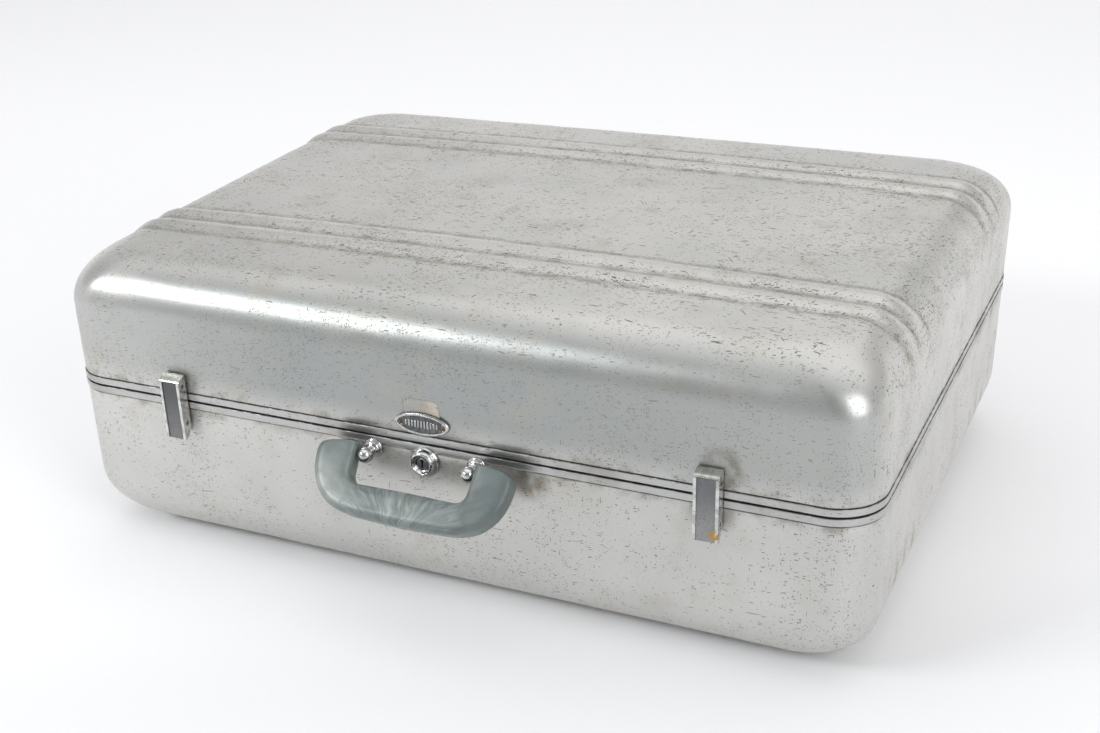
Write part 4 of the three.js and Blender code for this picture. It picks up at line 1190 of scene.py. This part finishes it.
def build_rivet(node, body, face, plate, radius=2.3):
    x, _, z = node_middle(node)
    head = plate + 0.05
    profile = open_profile([
        (0, -5.5), (1.6, -5.4), (2, -5.0), (2, -4.4), (1.1, -4.4), (1.1, head), (radius, head),
        (0.93 * radius, head + 0.5), (0.62 * radius, head + 1.0), (0, head + 1.25),
    ], 0.3)
    make_piece("dome_" + node, turned(profile, x, z - PARTING, face, 32), body, RIVET, node)


for name, side in SIDES:
    build_hinge(name, side * HINGE_X)
for name, _ in SIDES:
    for end in ("upper", "lower"):
        build_rivet("latch_bracket_rivet_%s_%s" % (name, end), "base", FRONT, 1.9)
    build_rivet("latch_keeper_rivet_" + name, "lid", FRONT, 1.9, 1.6)
    for body in ("base", "lid"):
        for end in "ab":
            build_rivet("hinge_rivet_%s_%s_%s" % (body, name, end), body, BACK, 2.2)

# ---- CAD nodes that stay ----


def refine(node, material, bevel):
    """A CAD node keeps its shape, and gets a finish and soft edges."""
    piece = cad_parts[node]
    for slot in piece.material_slots:
        slot.link = "OBJECT"
        slot.material = material
    weld = piece.modifiers.new("weld", "WELD")
    weld.merge_threshold = 0.00001
    add_bevel(piece, bevel, 2)


for name, _ in SIDES:
    for kind, material, bevel in (
        ("latch_bracket_", FITTING, 0.15), ("latch_keeper_", FITTING, 0.15),
        ("handle_post_nut_", RIVET, 0.25), ("stay_lower_", STAY, 0.25), ("stay_upper_", STAY, 0.25),
        ("stay_stud_base_", RIVET, 0.2), ("stay_stud_lid_", RIVET, 0.2),
    ):
        refine(kind + name, material, bevel)
for node, material, bevel in (
    ("lock_nut", RIVET, 0.3), ("lock_cam", FITTING, 0.2), ("lock_strike", FITTING, 0.2),
):
    refine(node, material, bevel)

# ---- Floor and light ----


def build_floor():
    mesh = bpy.data.meshes.new("floor")
    size = 14
    low = cad_box[0][2] - 0.0002
    mesh.from_pydata([
        (-size, -size, low), (size, -size, low), (size, size, low), (-size, size, low),
    ], [], [(0, 1, 2, 3)])
    mesh.materials.append(floor_material())
    floor = bpy.data.objects.new("floor", mesh)
    scene.collection.objects.link(floor)


def softbox(name, at, target, size, power, colour=(1, 1, 1)):
    data = bpy.data.lights.new(name, "AREA")
    data.shape = "RECTANGLE"
    data.size, data.size_y = size
    data.energy = power
    data.color = colour
    light = bpy.data.objects.new(name, data)
    scene.collection.objects.link(light)
    light.location = at
    light.visible_camera = False
    light.rotation_euler = (Vector(target) - Vector(at)).to_track_quat("-Z", "Y").to_euler()


def light_room():
    """A bright room, darker on the viewer's side for the chrome's dark reflections."""
    world = bpy.data.worlds.new("studio")
    scene.world = world
    world.use_nodes = True
    tree = world.node_tree
    way = add_node(tree, "TexCoord").outputs["Generated"]
    height = add_node(tree, "SeparateXYZ", {0: way}).outputs["Z"]
    ramp = add_node(tree, "ValToRGB", {0: height})
    first, last = ramp.color_ramp.elements
    first.color = (0.94, 0.94, 0.955, 1)
    last.position = 1.0
    last.color = (0.78, 0.78, 0.79, 1)
    for position, tone in ((0.14, 0.95), (0.32, 0.49), (0.72, 0.5)):
        ramp.color_ramp.elements.new(position).color = (tone, tone, 1.01 * tone, 1)
    inputs = {0: way, 1: TO_VIEWER}
    toward = add_node(tree, "VectorMath", inputs, operation="DOT_PRODUCT")
    inputs = {0: toward.outputs["Value"], 1: 0.1, 2: 0.6, 3: 1.0, 4: 0.5}
    shade = add_node(tree, "MapRange", inputs).outputs[0]
    inputs = {0: ramp.outputs[0], "Scale": shade}
    dimmed = add_node(tree, "VectorMath", inputs, operation="SCALE").outputs[0]
    background = tree.nodes["Background"]
    feed(tree, background.inputs["Color"], dimmed)
    feed(tree, background.inputs["Strength"], 1.14)
    softbox("key", (-1.54, -1.78, 1.5), (-0.1, -0.2, 0.18), (1.05, 0.22), 27, (0.95, 0.98, 1.0))
    softbox("overhead", (0.1, 0.1, 3.2), (0, 0, 0), (5.0, 5.0), 32)
    softbox("corner", (1.55, -1.05, 1.0), (0.28, -0.2, 0.17), (0.9, 1.2), 15, (0.97, 0.99, 1.0))
    softbox("rear", (-0.5, 2.4, 2.0), (-0.1, 0.6, 0.0), (2.2, 1.4), 3.5)


build_floor()
light_room()
scene.view_settings.view_transform = "Standard"
scene.view_settings.look = "None"
